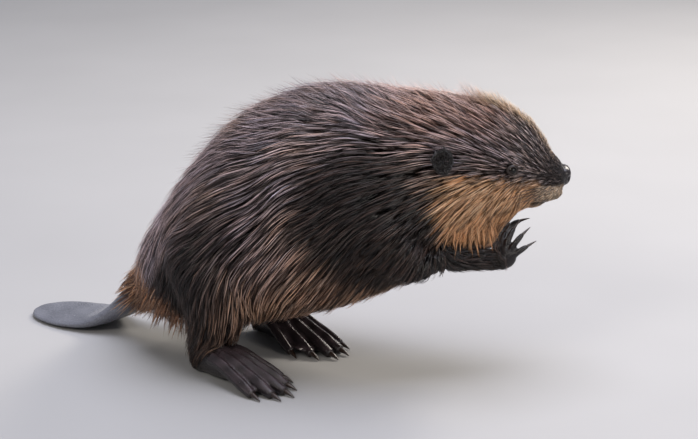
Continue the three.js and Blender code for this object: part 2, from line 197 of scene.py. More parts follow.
def hip_place(s, ahead, out, up):
    """A place given from the hips: ahead, outwards and up."""
    c, n = math.cos(HIP["turn"]), math.sin(HIP["turn"])
    return np.stack([HIP["x"] + ahead * c - s * out * n, HIP["y"] + ahead * n + s * out * c,
                     up + 0 * ahead], -1)


def foot_place(leg, ahead, out, up):
    """A place given from the heel of a foot: ahead, outwards and up."""
    heel = hip_place(leg["s"], np.float64(-40 + leg["stride"]), 89, 0)
    c, n = math.cos(leg["heading"]), math.sin(leg["heading"])
    return np.stack([heel[0] + ahead * c - leg["s"] * out * n, heel[1] + ahead * n + leg["s"] * out * c,
                     up + 0 * ahead], -1)


def arm_place(s, place):
    """A place ahead, outwards from the head's middle plane, and up."""
    place = np.asarray(place, float)
    return np.stack([place[..., 0], HEAD_Y + s * place[..., 1], place[..., 2]], -1)


# ---------------------------------------------------------------------------------------------
# Closed surfaces from grids
# ---------------------------------------------------------------------------------------------
def closed(grid, first, last):
    """A closed skin over a grid of rings, with one tip before the first ring and one after the last."""
    rings, around = grid.shape[:2]
    points = np.vstack([grid.reshape(-1, 3), first, last])
    r, i = np.meshgrid(np.arange(rings - 1), np.arange(around), indexing="ij")
    j = (i + 1) % around
    quads = np.stack([r * around + i, r * around + j, (r + 1) * around + j, (r + 1) * around + i],
                     -1).reshape(-1, 4)
    k = np.arange(around)
    l = (k + 1) % around
    start = np.stack([np.full(around, rings * around), l, k, l], -1)[:, :3]
    end = np.stack([np.full(around, rings * around + 1), (rings - 1) * around + k,
                    (rings - 1) * around + l], -1)
    faces = quads.tolist() + start.tolist() + end.tolist()
    return points, faces


def outward(points, faces):
    """The same faces, turned round if they enclose a negative volume."""
    corner = np.array([[f[0], f[1], f[2]] for f in faces]
                      + [[f[0], f[2], f[3]] for f in faces if len(f) == 4])
    a, b, c = points[corner[:, 0]], points[corner[:, 1]], points[corner[:, 2]]
    if np.einsum("ij,ij->i", a, np.cross(b, c)).sum() < 0:
        faces = [f[::-1] for f in faces]
    return points, faces


def together(parts):
    """Several (points, faces) as one."""
    points, faces, start = [], [], 0
    for p, f in parts:
        points.append(p)
        faces += [[v + start for v in face] for face in f]
        start += len(p)
    return np.vstack(points), faces


def rounded(angle, power):
    """Cosine and sine of a superellipse: each raised to 2/power, keeping its sign."""
    c, s = np.cos(angle), np.sin(angle)
    e = 2 / power
    return np.sign(c) * np.abs(c) ** e, np.sign(s) * np.abs(s) ** e


def loft(middle, sizes, side_axis, around, steps, tips, power=2.0, pear=0.0):
    """Rounded ovals square to a path. middle is rows of x, y, z; sizes rows of half width, up, down and
    inset. Each ring is middle + c·(side - inset)·(1 - pear·s)·across + s·(up or down - inset)·upwards,
    where c and s are a superellipse's."""
    t = np.linspace(0, 1, steps + 1)
    path = curve(middle, t)
    nearby = curve(middle, np.clip(t + 1e-3, 0, 1)) - curve(middle, np.clip(t - 1e-3, 0, 1))
    ahead = unit(nearby)
    across = unit(side_axis - ahead * (ahead @ side_axis)[:, None])
    upwards = np.cross(ahead, across)
    size = curve(sizes, t)
    shape = [np.interp(t, np.linspace(0, 1, len(np.atleast_1d(v))),
                       np.atleast_1d(v)) if np.ndim(v) else np.full(len(t), v)
             for v in (power, pear)]
    angle = np.linspace(0, 2 * math.pi, around, endpoint=False)
    c, s = rounded(angle[None, :], shape[0][:, None])
    inset = size[:, 3:4]
    reach = np.where(s > 0, size[:, 1:2], size[:, 2:3]) - inset
    width = (size[:, 0:1] - inset) * (1 - shape[1][:, None] * s)
    grid = (path[:, None] + (c * width)[..., None] * across[:, None]
            + (s * reach)[..., None] * upwards[:, None])
    first = path[0] - ahead[0] * max(tips[0] - size[0, 3], 0.5)
    last = path[-1] + ahead[-1] * max(tips[1] - size[-1, 3], 0.5)
    return outward(*closed(grid, first, last))


def ball(centre, radii, turn=(0, 0, 0), rings=24, around=36):
    """An ellipsoid: centre + turned (rx·cos v·cos u, ry·cos v·sin u, rz·sin v)."""
    v = np.linspace(-math.pi / 2, math.pi / 2, rings + 2)[1:-1, None]
    u = np.linspace(0, 2 * math.pi, around, endpoint=False)[None, :]
    grid = np.stack([np.cos(v) * np.cos(u), np.cos(v) * np.sin(u), np.sin(v) + 0 * u], -1) * radii
    turned = np.array(Matrix.Rotation(turn[2], 3, "Z") @ Matrix.Rotation(turn[1], 3, "Y")
                      @ Matrix.Rotation(turn[0], 3, "X"))
    low, high = (np.array([0, 0, e * radii[2]]) @ turned.T + centre for e in (-1, 1))
    return outward(*closed(grid @ turned.T + centre, low, high))


def limb(places, radii, side_axis, around, steps, tips, inset=0.0):
    """A loft of a limb or digit: radii is rows of half width and half depth, or of one radius."""
    radii = np.asarray(radii, float)
    if radii.ndim == 1:
        radii = np.stack([radii, radii], -1)
    inset = np.broadcast_to(inset, len(radii))
    return loft(places, np.column_stack([radii[:, 0], radii[:, 1], radii[:, 1], inset]),
                np.asarray(side_axis, float),
                around, steps, tips)


def make_object(name, points, faces, material=None, smooth=True):
    """A mesh object at the origin from points in body axes."""
    mesh = bpy.data.meshes.new(name)
    mesh.from_pydata(into_frame(points).tolist(), [], faces)
    mesh.validate()
    if smooth:
        mesh.shade_smooth()
    thing = bpy.data.objects.new(name, mesh)
    bpy.context.collection.objects.link(thing)
    if material:
        mesh.materials.append(material)
    return thing


# ---------------------------------------------------------------------------------------------
# The hide
# ---------------------------------------------------------------------------------------------
def leg_places(leg):
    """Stations along a leg: its stride grows from 0 at the hip to its full length 150 lower down."""
    share = np.minimum(1, (196 - LEG[:, 2]) / 150)
    return hip_place(leg["s"], LEG[:, 0] + leg["stride"] * share, LEG[:, 1], LEG[:, 2])


def arm_places(arm):
    """Stations along an arm, which drops evenly by the arm's own drop from the shoulder to the hand."""
    rows = ARM[:, :3].copy()
    rows[:, 2] -= arm["drop"] * np.arange(len(ARM)) / (len(ARM) - 1)
    return arm_place(arm["s"], rows)


def toe_places(leg, toe):
    """Stations along a toe, straight from its root to its tip."""
    share, root, tip, _ = toe
    return foot_place(leg, TOE_STEPS * share * FOOT_LENGTH, root + (tip - root) * TOE_STEPS, TOE_RISE)


def finger_places(arm, finger):
    """Places along a finger: straight along its angle, curling by t² towards what the palm faces."""
    angle, root_across, root_along, length = finger
    angle = math.radians(angle)
    ahead = POINTING * math.cos(angle) + ACROSS * math.sin(angle)
    root = PALM + ACROSS * root_across + POINTING * root_along
    t = np.array([0, 0.4, 0.75, 1])[:, None]
    places = root + ahead * length * t + FACING * (10 * t * t - 4 * (t - t * t))
    places[:, 2] -= arm["drop"]
    return arm_place(arm["s"], places)


def body_parts():
    """Every form of flesh as (points, faces), set in by the depth of the coat."""
    y_axis = np.array([0.0, 1.0, 0.0])
    rows = BODY
    middle = np.column_stack([rows[:, 0], spine_y(rows[:, 0]), rows[:, 1]])
    sizes = np.column_stack([rows[:, 2], rows[:, 3], rows[:, 4], rows[:, 7]])
    parts = [loft(middle, sizes, y_axis, 96, 140, BODY_TIPS, rows[:, 5], rows[:, 6])]
    for s in (RIGHT, LEFT):
        parts.append(ball([319, HEAD_Y + s * 17, 248], [23.5, 17.5, 15.5]))
        parts.append(ball([247, HEAD_Y + s * 27, 243], [42, 27, 37]))
    parts.append(ball([303, HEAD_Y, 236], [21, 19, 13.5]))
    for leg in LEGS.values():
        parts.append(limb(leg_places(leg), LEG[:, 3:5], y_axis, 40, 40, (20, 8), LEG[:, 5]))
        places = foot_place(leg, SOLE[:, 0], 0, SOLE[:, 1])
        parts.append(limb(places, SOLE[:, 2:], y_axis, 40, 40, (6, 2), 0.4))
        for toe in TOES:
            parts.append(limb(toe_places(leg, toe), TOE_TAPER * toe[3], y_axis, 20, 30,
                              (toe[3] * 0.5, toe[3] * 0.4), 0.3))
    for arm in ARMS.values():
        parts.append(limb(arm_places(arm), ARM[:, 3:5], y_axis, 32, 50, (20, 5), ARM[:, 5]))
        side = arm_place(arm["s"], ACROSS) - arm_place(arm["s"], [0, 0, 0])
        stations = np.array([WRIST, PALM, PALM + POINTING * 11])
        stations[:, 2] -= arm["drop"]
        parts.append(limb(arm_place(arm["s"], stations), [[12, 11.5], [14.6, 9.3], [12.5, 6.7]], side, 28,
                          20, (4, 4), 0.4))
        for finger in FINGERS:
            parts.append(limb(finger_places(arm, finger), [4.7, 4.2, 4.0, 3.1], side, 16, 20, (2.6, 1.8),
                              0.2))
    rows = TAIL
    side = np.array([-0.53, -0.85, 0.0])
    parts.append(loft(rows[:, :3], np.column_stack([rows[:, 3], rows[:, 4], rows[:, 4], rows[:, 5]]), side,
                      48, 120,
                      (15, 3), 2.2))
    return parts


def with_modifier(mesh, kind, **settings):
    """The mesh after one modifier."""
    rough = bpy.data.objects.new("rough", mesh)
    bpy.context.collection.objects.link(rough)
    group = settings.pop("weights", None)
    if group is not None:
        rough.vertex_groups.new(name="thin")
        layer = rough.vertex_groups["thin"]
        for level in range(11):
            layer.add(np.nonzero(np.round(group * 10) == level)[0].tolist(), level / 10, "REPLACE")
        settings["vertex_group"] = "thin"
    modifier = rough.modifiers.new(kind.lower(), kind)
    for key, value in settings.items():
        setattr(modifier, key, value)
    made = bpy.data.meshes.new_from_object(rough.evaluated_get(bpy.context.evaluated_depsgraph_get()))
    bpy.data.objects.remove(rough)
    return made


def one_skin(points, faces):
    """One skin over overlapping forms: voxels, then plain smoothing, then the modelling of head and feet."""
    mesh = bpy.data.meshes.new("forms")
    mesh.from_pydata(into_frame(points).tolist(), [], faces)
    mesh = with_modifier(mesh, "REMESH", mode="VOXEL", voxel_size=1.6 * MM, adaptivity=0.0)
    mesh = with_modifier(mesh, "SMOOTH", factor=0.5, iterations=4)
    places, normals = mesh_points(mesh)
    places = places + normals * sculpted(places, normals)[:, None]
    places[:, 2] = np.maximum(places[:, 2], 0.0)
    mesh.vertices.foreach_set("co", into_frame(places).astype(np.float32).ravel())
    mesh.update()
    mesh.shade_smooth()
    return mesh


def thinned(mesh, triangles):
    """The same skin with fewer faces, taken from where the coat is deep."""
    places, _ = mesh_points(mesh)
    hidden = ease(-places[:, 0], -262, -235) * ease(places[:, 2], 62, 90) * ease(places[:, 0], -215, -195)
    made = with_modifier(mesh, "DECIMATE", ratio=min(1.0, triangles / (2 * len(mesh.polygons))),
                         weights=hidden)
    made.shade_smooth()
    return made


def mesh_points(mesh):
    """A mesh's vertex places and normals, in body axes."""
    co = np.empty(len(mesh.vertices) * 3, np.float32)
    mesh.vertices.foreach_get("co", co)
    normal = np.empty(len(mesh.vertices) * 3, np.float32)
    mesh.vertex_normals.foreach_get("vector", normal)
    return into_body(co.reshape(-1, 3)), normal.reshape(-1, 3).astype(float)


def eye_centre(s):
    """The middle of the eyeball on side s."""
    return np.array([EYE["x"], HEAD_Y + s * EYE["out"], EYE["z"]])


def foot_axes(leg, points):
    """How far ahead of a foot's heel, and how far out from its middle line, each place lies."""
    off = points - foot_place(leg, np.float64(0), 0, 0)
    c, n = math.cos(leg["heading"]), math.sin(leg["heading"])
    return off[:, 0] * c + off[:, 1] * n, leg["s"] * (off[:, 1] * c - off[:, 0] * n)


def sculpted(points, normals):
    """The head's and feet's modelling: how far each vertex moves along its normal, in millimetres."""
    move = np.zeros(len(points))
    side = np.abs(points[:, 1] - HEAD_Y)
    # sockets: a shallow bowl round each eye, with a brow over it
    for s in (RIGHT, LEFT):
        away = np.linalg.norm(points - eye_centre(s), axis=1)
        move -= 1.2 * np.exp(-((away / 10) ** 2))
        brow = eye_centre(s) + np.array([-1, -s * 1, 11.0])
        move += 1.6 * np.exp(-((np.linalg.norm(points - brow, axis=1) / 8) ** 2))
    # the split of the upper lip under the nose
    cleft = np.exp(-((side / 1.6) ** 2)) * ease(points[:, 0], 318, 334) * ease(-points[:, 2], -262, -252)
    move -= 2.2 * cleft * ease(points[:, 2], 226, 236)
    # the line of the mouth, from the front of the lips back to the corner
    mouth = np.exp(-(((points[:, 2] - (234.5 + 0.1 * (points[:, 0] - 320))) / 1.9) ** 2))
    move -= 3.0 * mouth * ease(points[:, 0], 290, 303)
    # tendons over the foot, one to each toe, with hollows between them
    for leg in LEGS.values():
        ahead, out = foot_axes(leg, points)
        away = np.full(len(points), 99.0)
        for share, root, tip, _ in TOES:
            line = np.interp(ahead / (share * FOOT_LENGTH), [0.08, 0.34, 1],
                             [0.6 * root, root + 0.34 * (tip - root), tip])
            away = np.minimum(away, np.abs(out - line))
        over = ease(ahead, 20, 40) * ease(-ahead, -142, -120) * ease(normals[:, 2], 0.15, 0.5)
        over *= ease(-points[:, 2], -60, -50) * ease(-np.abs(out), -52, -44)
        move += over * (2.2 * np.exp(-((away / 3.2) ** 2)) - 1.2)
    return move


def between(table, rows, columns, row, column):
    """A table's value between its rows and columns, held at its edges."""
    r = np.interp(row, rows, np.arange(len(rows)))
    c = np.interp(column, columns, np.arange(len(columns)))
    i, j = np.minimum(r.astype(int), len(rows) - 2), np.minimum(c.astype(int), len(columns) - 2)
    r, c = r - i, c - j
    low = table[i, j] * (1 - c) + table[i, j + 1] * c
    return low * (1 - r) + (table[i + 1, j] * (1 - c) + table[i + 1, j + 1] * c) * r


def nearest_station(points, places, sizes):
    """For each point: the share along a limb's path of its nearest place, and its distance over the
    radius there."""
    t = np.linspace(0, 1, 60)
    path, size = curve(places, t), curve(sizes, t)
    square = (points**2).sum(1)[:, None] + (path**2).sum(1)[None] - 2 * points @ path.T
    away = np.sqrt(np.maximum(square, 0))
    best = np.argmin(away / size.max(1)[None], axis=1)
    return t[best], away[np.arange(len(points)), best] / size.max(1)[best], path[best], best


def limb_heading(places, t):
    """The way a limb runs at share t."""
    return unit(curve(places, np.clip(t + 0.02, 0, 1)) - curve(places, np.clip(t - 0.02, 0, 1)))


def lie_of_coat(points, normals):
    """For places on the hide: the way the coat lies, its length and depth, and how bare and how scaly it
    is.

    On the body the coat lies back along lines that keep their share of its height, turned down or up from
    them by FALL, alike on both sides; on the rump it falls straight down. On a limb it lies along the
    limb. All is then laid flat on the hide.
    """
    x, y, z = points.T
    row = [np.interp(x, BODY[:, 0], BODY[:, k]) for k in (1, 2, 3, 4, 7)]
    slope = [(np.interp(x + 15, BODY[:, 0], BODY[:, k]) - np.interp(x - 15, BODY[:, 0], BODY[:, k]))
             / 30 for k in (1, 2, 3, 4)]
    above = z > row[0]
    high = (z - row[0]) / np.where(above, row[2], row[3])
    steep = np.radians(between(FALL, FALL_HIGH, FALL_X, high, x) + 8 * ripple(points, 60, 3))
    bend = -2 * SPINE_BEND * np.maximum(0, STRAIGHT_X - x)
    off = y - spine_y(x)
    side = -off / np.sqrt(off**2 + 14**2)
    wide = (1 - np.clip(np.abs(high), 0, 1) ** 2.15) ** (1 / 2.15)
    climb = slope[0] + np.clip(high, -1, 1) * np.where(above, slope[2], slope[3])
    back = unit(np.stack([-np.ones_like(x), -bend + side * wide * slope[1], -climb], -1))
    facing_back = -(normals[:, 0] + bend * normals[:, 1]) / np.sqrt(1 + bend**2)
    back = unit(back - normals * (back * normals).sum(1)[:, None])
    flow = back * np.cos(steep)[:, None] + np.cross(normals, back) * (np.sin(steep) * side)[:, None]
    flow = unit(flow - np.array([0, 0, 1.4]) * ease(facing_back, 0.35, 0.85)[:, None])
    long_ = np.interp(x, [-203, -133, -30, 120, 190, 235, 262, 290, 312, 330, 346],
                      [38, 46, 44, 38, 32, 25, 19, 12, 7, 4.5, 3])
    long_ *= 1 - 0.25 * ease(-high, 0.5, 1.0) * ease(-x, -200, -100)
    long_ += 13 * ease(x, 180, 205) * ease(-x, -262, -240) * ease(-high, 0.3, 0.7)
    deep = row[4] * (0.75 + 0.25 * ease(high, -0.6, 0.5))
    bare = np.zeros(len(points))
    scaly = np.zeros(len(points))

    for leg in LEGS.values():
        places = leg_places(leg)
        t, ratio, _, _ = nearest_station(points, places, LEG[:, 3:5])
        inside = ease(-ratio, -1.25, -0.95) * ease(t, 0.1, 0.45)
        down = limb_heading(places, t)
        flow = flow * (1 - inside)[:, None] + down * inside[:, None]
        long_ = (long_ * (1 - inside)
                 + inside * np.interp(t, [0, 0.3, 0.6, 0.8, 0.93, 1], [44, 38, 28, 19, 10, 6]))
        deep = deep * (1 - inside) + inside * np.interp(t, np.linspace(0, 1, len(LEG)), LEG[:, 5])
        ahead, out = foot_axes(leg, points)
        on_foot = (ease(-z, -58, -46) * ease(-np.abs(out), -60, -50) * ease(-ahead, -185, -175)
                   * ease(ahead, -30, -22))
        bare = np.maximum(bare, on_foot * ease(ahead + 0.9 * (30 - z), 14, 34))

    for arm in ARMS.values():
        places = arm_places(arm)
        t, ratio, _, _ = nearest_station(points, places, ARM[:, 3:5])
        inside = ease(-ratio, -1.35, -0.95) * ease(t, 0.12, 0.4)
        past_elbow = inside * ease(t, 0.38, 0.66)
        flow = flow * (1 - past_elbow)[:, None] + limb_heading(places, t) * past_elbow[:, None]
        long_ = long_ * (1 - inside) + inside * np.interp(t, [0, 0.3, 0.55, 0.8, 1], [34, 28, 20, 12, 7])
        deep = deep * (1 - inside) + inside * np.interp(t, np.linspace(0, 1, len(ARM)), ARM[:, 5])
        hand = np.linalg.norm(points - arm_place(arm["s"], PALM + np.array([4, 0, 8.0])), axis=1)
        bare = np.maximum(bare, ease(-hand, -42, -34) * ease(x, 258, 268))

    t, ratio, _, _ = nearest_station(points, TAIL[:, :3], TAIL[:, 3:5])
    inside = ease(-ratio, -1.3, -1.0) * ease(-x, 150, 185)
    flow = flow * (1 - inside)[:, None] + limb_heading(TAIL[:, :3], t) * inside[:, None]
    past = (points - FUR_LINE[0]) @ FUR_LINE[1]
    long_ = long_ * (1 - inside) + inside * 30
    deep = deep * (1 - inside) + inside * np.interp(t, np.linspace(0, 1, len(TAIL)), TAIL[:, 5])
    on_tail = ease(-ratio, -1.3, -1.1) * ease(past, -1, 5)
    bare = np.maximum(bare, on_tail)
    scaly = on_tail

    for s in (RIGHT, LEFT):
        before_ear = points - np.array([EAR["x"] + 13, HEAD_Y + s * (EAR["out"] - 14), EAR["z"] + 4])
        deep = deep + 11.0 * np.exp(-((np.linalg.norm(before_ear / [19, 30, 20], axis=1)) ** 2))
    nose = np.linalg.norm((points - [344, HEAD_Y, 266]) / [17, 22, 17], axis=1)
    bare = np.maximum(bare, ease(-nose, -1.1, -0.8))
    for s in (RIGHT, LEFT):
        away = np.linalg.norm(points - eye_centre(s), axis=1)
        long_ *= 1 - 0.6 * ease(-away, -20, -9)
        bare = np.maximum(bare, ease(-away, -7.8, -6.6))
    flow = unit(flow - normals * (flow * normals).sum(1)[:, None])
    return flow, long_, deep, bare, scaly


# ---------------------------------------------------------------------------------------------
# Colours, as sRGB hex
# ---------------------------------------------------------------------------------------------
def linear(code):
    """An sRGB hex colour as linear red, green and blue."""
    v = np.array([int(code[i:i + 2], 16) for i in (1, 3, 5)]) / 255
    return np.where(v <= 0.04045, v / 12.92, ((v + 0.055) / 1.055) ** 2.4)


# Some of these are painted light: the coat tips' mauve is a painted sky sheen, the pale tones of the nape and
# the bridge a painted sky light and sheen, the cream of the crown a painted rim light, and the mauve-grey of
# the feet's upper side a painted sheen.
TONE = {name: linear(code) for name, code in dict(
    umber="#30201a", mauve_sheen="#a7969a", tawny="#a28a7c", chestnut="#6a4234", flank="#553a26", russet="#6f4430",
    straw="#bb9270", nape_sky_lit="#d6b4a6", cheek="#dfaa7c", cheek_deep="#dfa06c", cheek_pale="#f8d3ab",
    muzzle="#f2d6b8", bridge_sheen="#cdbcb4", crown_rim_light="#f6d8ac", soot="#15100e", sole="#272122", skin_top_sheen="#52464a",
    palm="#1c1718", slate="#75767e", slate_dark="#505158").items()}


def blend(base, name, share):
    """Mixes a named colour into an array of colours."""
    return base + (TONE[name] - base) * share[:, None]


def markings(points, normals, scaly):
    """The animal's colours at places on it: the coat's middle, the coat's tips, and the bare skin. Painted
    light
    is part of them: painted shade on the rump and low down, a painted sky sheen on the tips, the nape and
    the face, painted rim light on the crown and a painted sheen on the top of the feet.
    """
    x, y, z = points.T
    side = np.abs(y - HEAD_Y)
    row = [np.interp(x, BODY[:, 0], BODY[:, k]) for k in (1, 3, 4)]
    high = (z - row[0]) / np.where(z > row[0], row[1], row[2])
    noise = ripple(points, 26, 11)
    coarse = ripple(points, 110, 12)
    body = np.tile(TONE["umber"], (len(points), 1))
    # Painted sky sheen: the tips' pale mauve stands for the sky reflected in wet dark hair.
    tips = np.tile(TONE["mauve_sheen"], (len(points), 1)) * (0.9 + 0.3 * coarse)[:, None]
    tips = blend(tips, "tawny", np.clip(0.2 + 0.5 * ripple(points, 75, 13) + 0.35 * ease(-high, -0.5, 0.1),
                                        0, 1))
    low = ease(-high, -0.1, 0.5) * ease(-x, -210, -80)
    body, tips = blend(body, "flank", 0.85 * low), blend(tips, "straw", 0.7 * low)
    # Nape: a warmer chestnut middle, and pale tips on its upper side that are painted sky light.
    nape_sky_lit = ease(high, 0.3, 0.85) * ease(x, 80, 170) * ease(-x, -300, -250)
    body, tips = blend(body, "chestnut", 0.7 * nape_sky_lit), blend(tips, "nape_sky_lit", 0.85 * nape_sky_lit)
    # Painted shade: the rump where it faces away from the light, and the coat low down towards the floor, are
    # darkened; the arms' coat is dark in itself.
    dark = np.maximum(ease(-x, 60, 135) * ease(-high, -0.95, -0.5), 0.7 * ease(-z, -110, -70))
    for arm in ARMS.values():
        _, ratio, _, _ = nearest_station(points, arm_places(arm), ARM[:, 3:5])
        dark = np.maximum(dark, ease(-ratio, -1.7, -1.15))
    body = blend(body, "soot", 0.85 * dark)
    tips = blend(blend(tips, "umber", 0.92 * dark), "soot", 0.4 * dark)
    fringe = ease(132 - 0.94 * (x + 204) - z, -4, 16) * ease(-x, 138, 156)
    body, tips = blend(body, "russet", 0.85 * fringe), blend(tips, "straw", 0.8 * fringe)
    # the orange cheek and throat: under a line from the muzzle to the ear, ahead of a line down the neck
    top = 267 + 17 * ease(-x, -300, -200) + 3 * noise + 6 * ripple(points, 7, 16)
    left = 178 + 30 * ease(-z, -225, -175) + 7 * noise
    cheek = ease(top - z, -3, 11) * ease(x - left, -10, 16) * ease(-x, -318, -300)
    for arm in ARMS.values():
        _, ratio, _, _ = nearest_station(points, arm_places(arm), ARM[:, 3:5])
        palm = np.linalg.norm(points - arm_place(arm["s"], PALM), axis=1)
        cheek *= ease(ratio, 1.0, 1.35) * ease(palm, 30, 42)
    pale = ease(z, 205, 250)
    body, tips = blend(body, "cheek", cheek), blend(tips, "cheek_deep", 0.95 * cheek)
    tips = blend(tips, "cheek_pale", 0.9 * cheek * pale)
    muzzle = ease(x, 298, 312) * ease(-z, -260, -254)
    body, tips = blend(body, "muzzle", 0.7 * muzzle), blend(tips, "muzzle", muzzle)
    # Painted sheen: the upper face ahead of the ears gets paler tips and a lighter middle.
    bridge_sheen = ease(x, 240, 300) * ease(z, 256, 268)
    body, tips = blend(body, "skin_top_sheen", 0.35 * bridge_sheen), blend(tips, "bridge_sheen", 0.75 * bridge_sheen)
    snout = ease(x, 308, 334) * ease(z, 254, 264)
    body, tips = blend(body, "soot", 0.6 * snout), blend(tips, "sole", 0.8 * snout)
    # Painted rim light: hair facing up on the crown gets pale cream tips, as if lit from behind, over a
    # russet middle.
    crown_rim_light = ease(normals[:, 2], 0.25, 0.65) * ease(x, 218, 255) * ease(-x, -340, -325) * ease(-side, -21, -8)
    crown_rim_light *= 0.75 + 0.35 * ripple(points, 6, 17)
    tips = blend(tips, "crown_rim_light", 0.95 * crown_rim_light)
    body = blend(body, "russet", 0.6 * crown_rim_light)
    mouth = np.exp(-(((z - (233.5 + 0.1 * (x - 320))) / 5.0) ** 2)) * ease(x, 296, 306)
    body, tips = blend(body, "soot", 0.85 * mouth), blend(tips, "soot", 0.8 * mouth)
    # bare skin
    skin = np.tile(TONE["sole"], (len(points), 1))
    # Painted sheen: bare skin on the feet that faces up is painted a lighter mauve-grey, mottled.
    skin = blend(skin, "skin_top_sheen", ease(normals[:, 2], 0.2, 0.95) * (0.45 + 0.4 * ripple(points, 18, 14))
                 * ease(-z, -80, -60))
    skin = blend(skin, "palm", ease(x, 240, 260))
    skin = blend(skin, "slate", scaly)
    skin = blend(skin, "slate_dark", 0.5 * scaly * (0.5 + 0.5 * ripple(points, 30, 15)))
    return body, tips, skin


def hide_skin(material):
    """The hide: its dense skin, with what grows the coat on it, and the marked skin that is shown."""
    dense = one_skin(*together(body_parts()))
    points, normals = mesh_points(dense)
    lie = dict(zip(("flow", "long", "deep", "bare", "scaly"), lie_of_coat(points, normals)))
    shown = thinned(dense, 190000)
    shown.name = "hide"
    places, facing = mesh_points(shown)
    _, _, _, bare, scaly = lie_of_coat(places, facing)
    body, _, skin = markings(places, facing, scaly)
    # Painted shade: under the coat the hide takes the coat's middle colour darkened to 0.4.
    colour = body * 0.4 * (1 - bare)[:, None] + skin * bare[:, None]
    for name, kind, values in (("markings", "FLOAT_COLOR", np.column_stack([colour, np.ones(len(colour))])),
                               ("bareness", "FLOAT", bare), ("scaliness", "FLOAT", scaly)):
        layer = shown.attributes.new(name, kind, "POINT")
        layer.data.foreach_set("color" if kind == "FLOAT_COLOR" else "value",
                               values.astype(np.float32).ravel())
    shown.materials.clear()
    shown.materials.append(material)
    thing = bpy.data.objects.new("hide", shown)
    bpy.context.collection.objects.link(thing)
    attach(thing, "root")
    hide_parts(*FLESH)
    return dense, dict(points=points, normals=normals, **lie)


# ---------------------------------------------------------------------------------------------
# The coat
# ---------------------------------------------------------------------------------------------
def near_hide(points, channels, cell=7.0, spread=4):
    """A lookup over space: each cell holds the mean of the hide's channels in it, and cells around the hide
    take their neighbours' mean. Returns a function from places to channels."""
    low = points.min(0) - (spread + 2) * cell
    shape = tuple(np.ceil((points.max(0) - low) / cell).astype(int) + spread + 3)
    flat = np.ravel_multi_index(((points - low) / cell).astype(int).T, shape)
    full = np.column_stack([channels, np.ones(len(points))])
    total = np.stack([np.bincount(flat, weights=c, minlength=int(np.prod(shape))) for c in full.T],
                     -1).reshape(*shape, -1)
    for _ in range(spread):
        around = sum(np.roll(total, step, axis) for axis in range(3) for step in (-1, 1))
        total = total + 0.01 * around

    def at(places):
        """The weighted mean of the channels round each place."""
        index = np.clip(((places - low) / cell).astype(int), 0, np.array(shape) - 1)
        cells = total[tuple(index.T)]
        return cells[:, :-1] / np.maximum(cells[:, -1:], 1e-12)

    return at


def scatter(mesh, density, rng):
    """Roots spread evenly over a mesh's triangles, as many per mm² as density says at its vertices.
    Returns each root's three vertices and their shares."""
    mesh.calc_loop_triangles()
    corners = np.empty(len(mesh.loop_triangles) * 3, np.int32)
    mesh.loop_triangles.foreach_get("vertices", corners)
    corners = corners.reshape(-1, 3)
    points, _ = mesh_points(mesh)
    a, b, c = (points[corners[:, k]] for k in range(3))
    weight = np.linalg.norm(np.cross(b - a, c - a), axis=1) / 2 * density[corners].mean(1)
    order = np.lexsort((a[:, 1] // 9, a[:, 0] // 9))
    running = np.cumsum(weight[order])
    count = int(running[-1])
    picks = order[np.searchsorted(running, (np.arange(count) + rng.random(count)) * running[-1] / count)]
    u, v = rng.random((2, count))
    flip = u + v > 1
    u, v = np.where(flip, 1 - u, u), np.where(flip, 1 - v, v)
    return corners[picks], np.stack([1 - u - v, u, v], -1)


def unwrap(points):
    """Where each root lies on an unwrap of the hide: the body is rolled out round its spine, and each
    limb round its own middle, each in its own strip. u and v run from 0 to 1."""
    x, y, z = points.T
    centre = np.stack([spine_y(x), np.interp(x, BODY[:, 0], BODY[:, 1])], -1)
    u = 0.02 + 0.56 * (np.clip(x, -215, 355) + 215) / 570
    v = 0.02 + 0.96 * (np.arctan2(z - centre[:, 1], y - centre[:, 0]) / (2 * math.pi) + 0.5)
    strips = [(leg_places(leg), LEG[:, 3:5], 1.2) for leg in LEGS.values()]
    strips += [(arm_places(arm), ARM[:, 3:5], 1.25) for arm in ARMS.values()]
    strips.append((TAIL[:, :3], TAIL[:, 3:5], 1.25))
    for k, (places, sizes, reach) in enumerate(strips):
        t, ratio, foot, _ = nearest_station(points, places, sizes)
        heading = limb_heading(places, t)
        across = unit(np.cross(heading, np.array([0.1, 1.0, 0.15])))
        other = np.cross(heading, across)
        offset = points - foot
        angle = np.arctan2((offset * other).sum(1), (offset * across).sum(1)) / (2 * math.pi) + 0.5
        on_limb = (ratio < reach) & (t > 0.3)
        u = np.where(on_limb, 0.61 + 0.075 * k + 0.065 * angle, u)
        v = np.where(on_limb, 0.02 + 0.96 * t, v)
    return np.stack([u, v], -1)


def walk(at, roots, length):
    """The path of each lock: three steps of a third of its length over the hide, along the lie of the coat.
    Returns its four feet on the hide, with the hide's normal and the lie of the coat at each."""
    feet, normals, flows = [roots], [], []
    for step in range(4):
        found = at(feet[-1])
        normal, flow = unit(found[:, 3:6]), found[:, 6:9]
        foot = feet[-1] - normal * ((feet[-1] - found[:, :3]) * normal).sum(1)[:, None]
        flow = unit(flow - normal * (flow * normal).sum(1)[:, None])
        feet[-1] = foot
        normals.append(normal)
        flows.append(flow)
        if step < 3:
            feet.append(foot + flow * (length / 3)[:, None])
    return np.stack(feet, 1), np.stack(normals, 1), np.stack(flows, 1)


def hanging(path, length, rng, down, out):
    """The same locks off the hide: each goes straight on from its root, partly down and a little outwards."""
    feet, normals, flows = path
    way = flows[:, :1] * (1 - down) + np.array([0, 0, -down]) + normals[:, :1] * [out, out, 0.3 * out]
    way = unit(np.repeat(way + rng.normal(0, 0.15, way.shape), 4, 1))
    length = length * rng.uniform(0.5, 1.2, len(length))
    feet = feet[:, :1] + way * np.arange(4)[None, :, None] * (length / 3)[:, None, None]
    normal = normals[:, :1] - way * (normals[:, :1] * way).sum(-1, keepdims=True)
    return feet, unit(normal), way


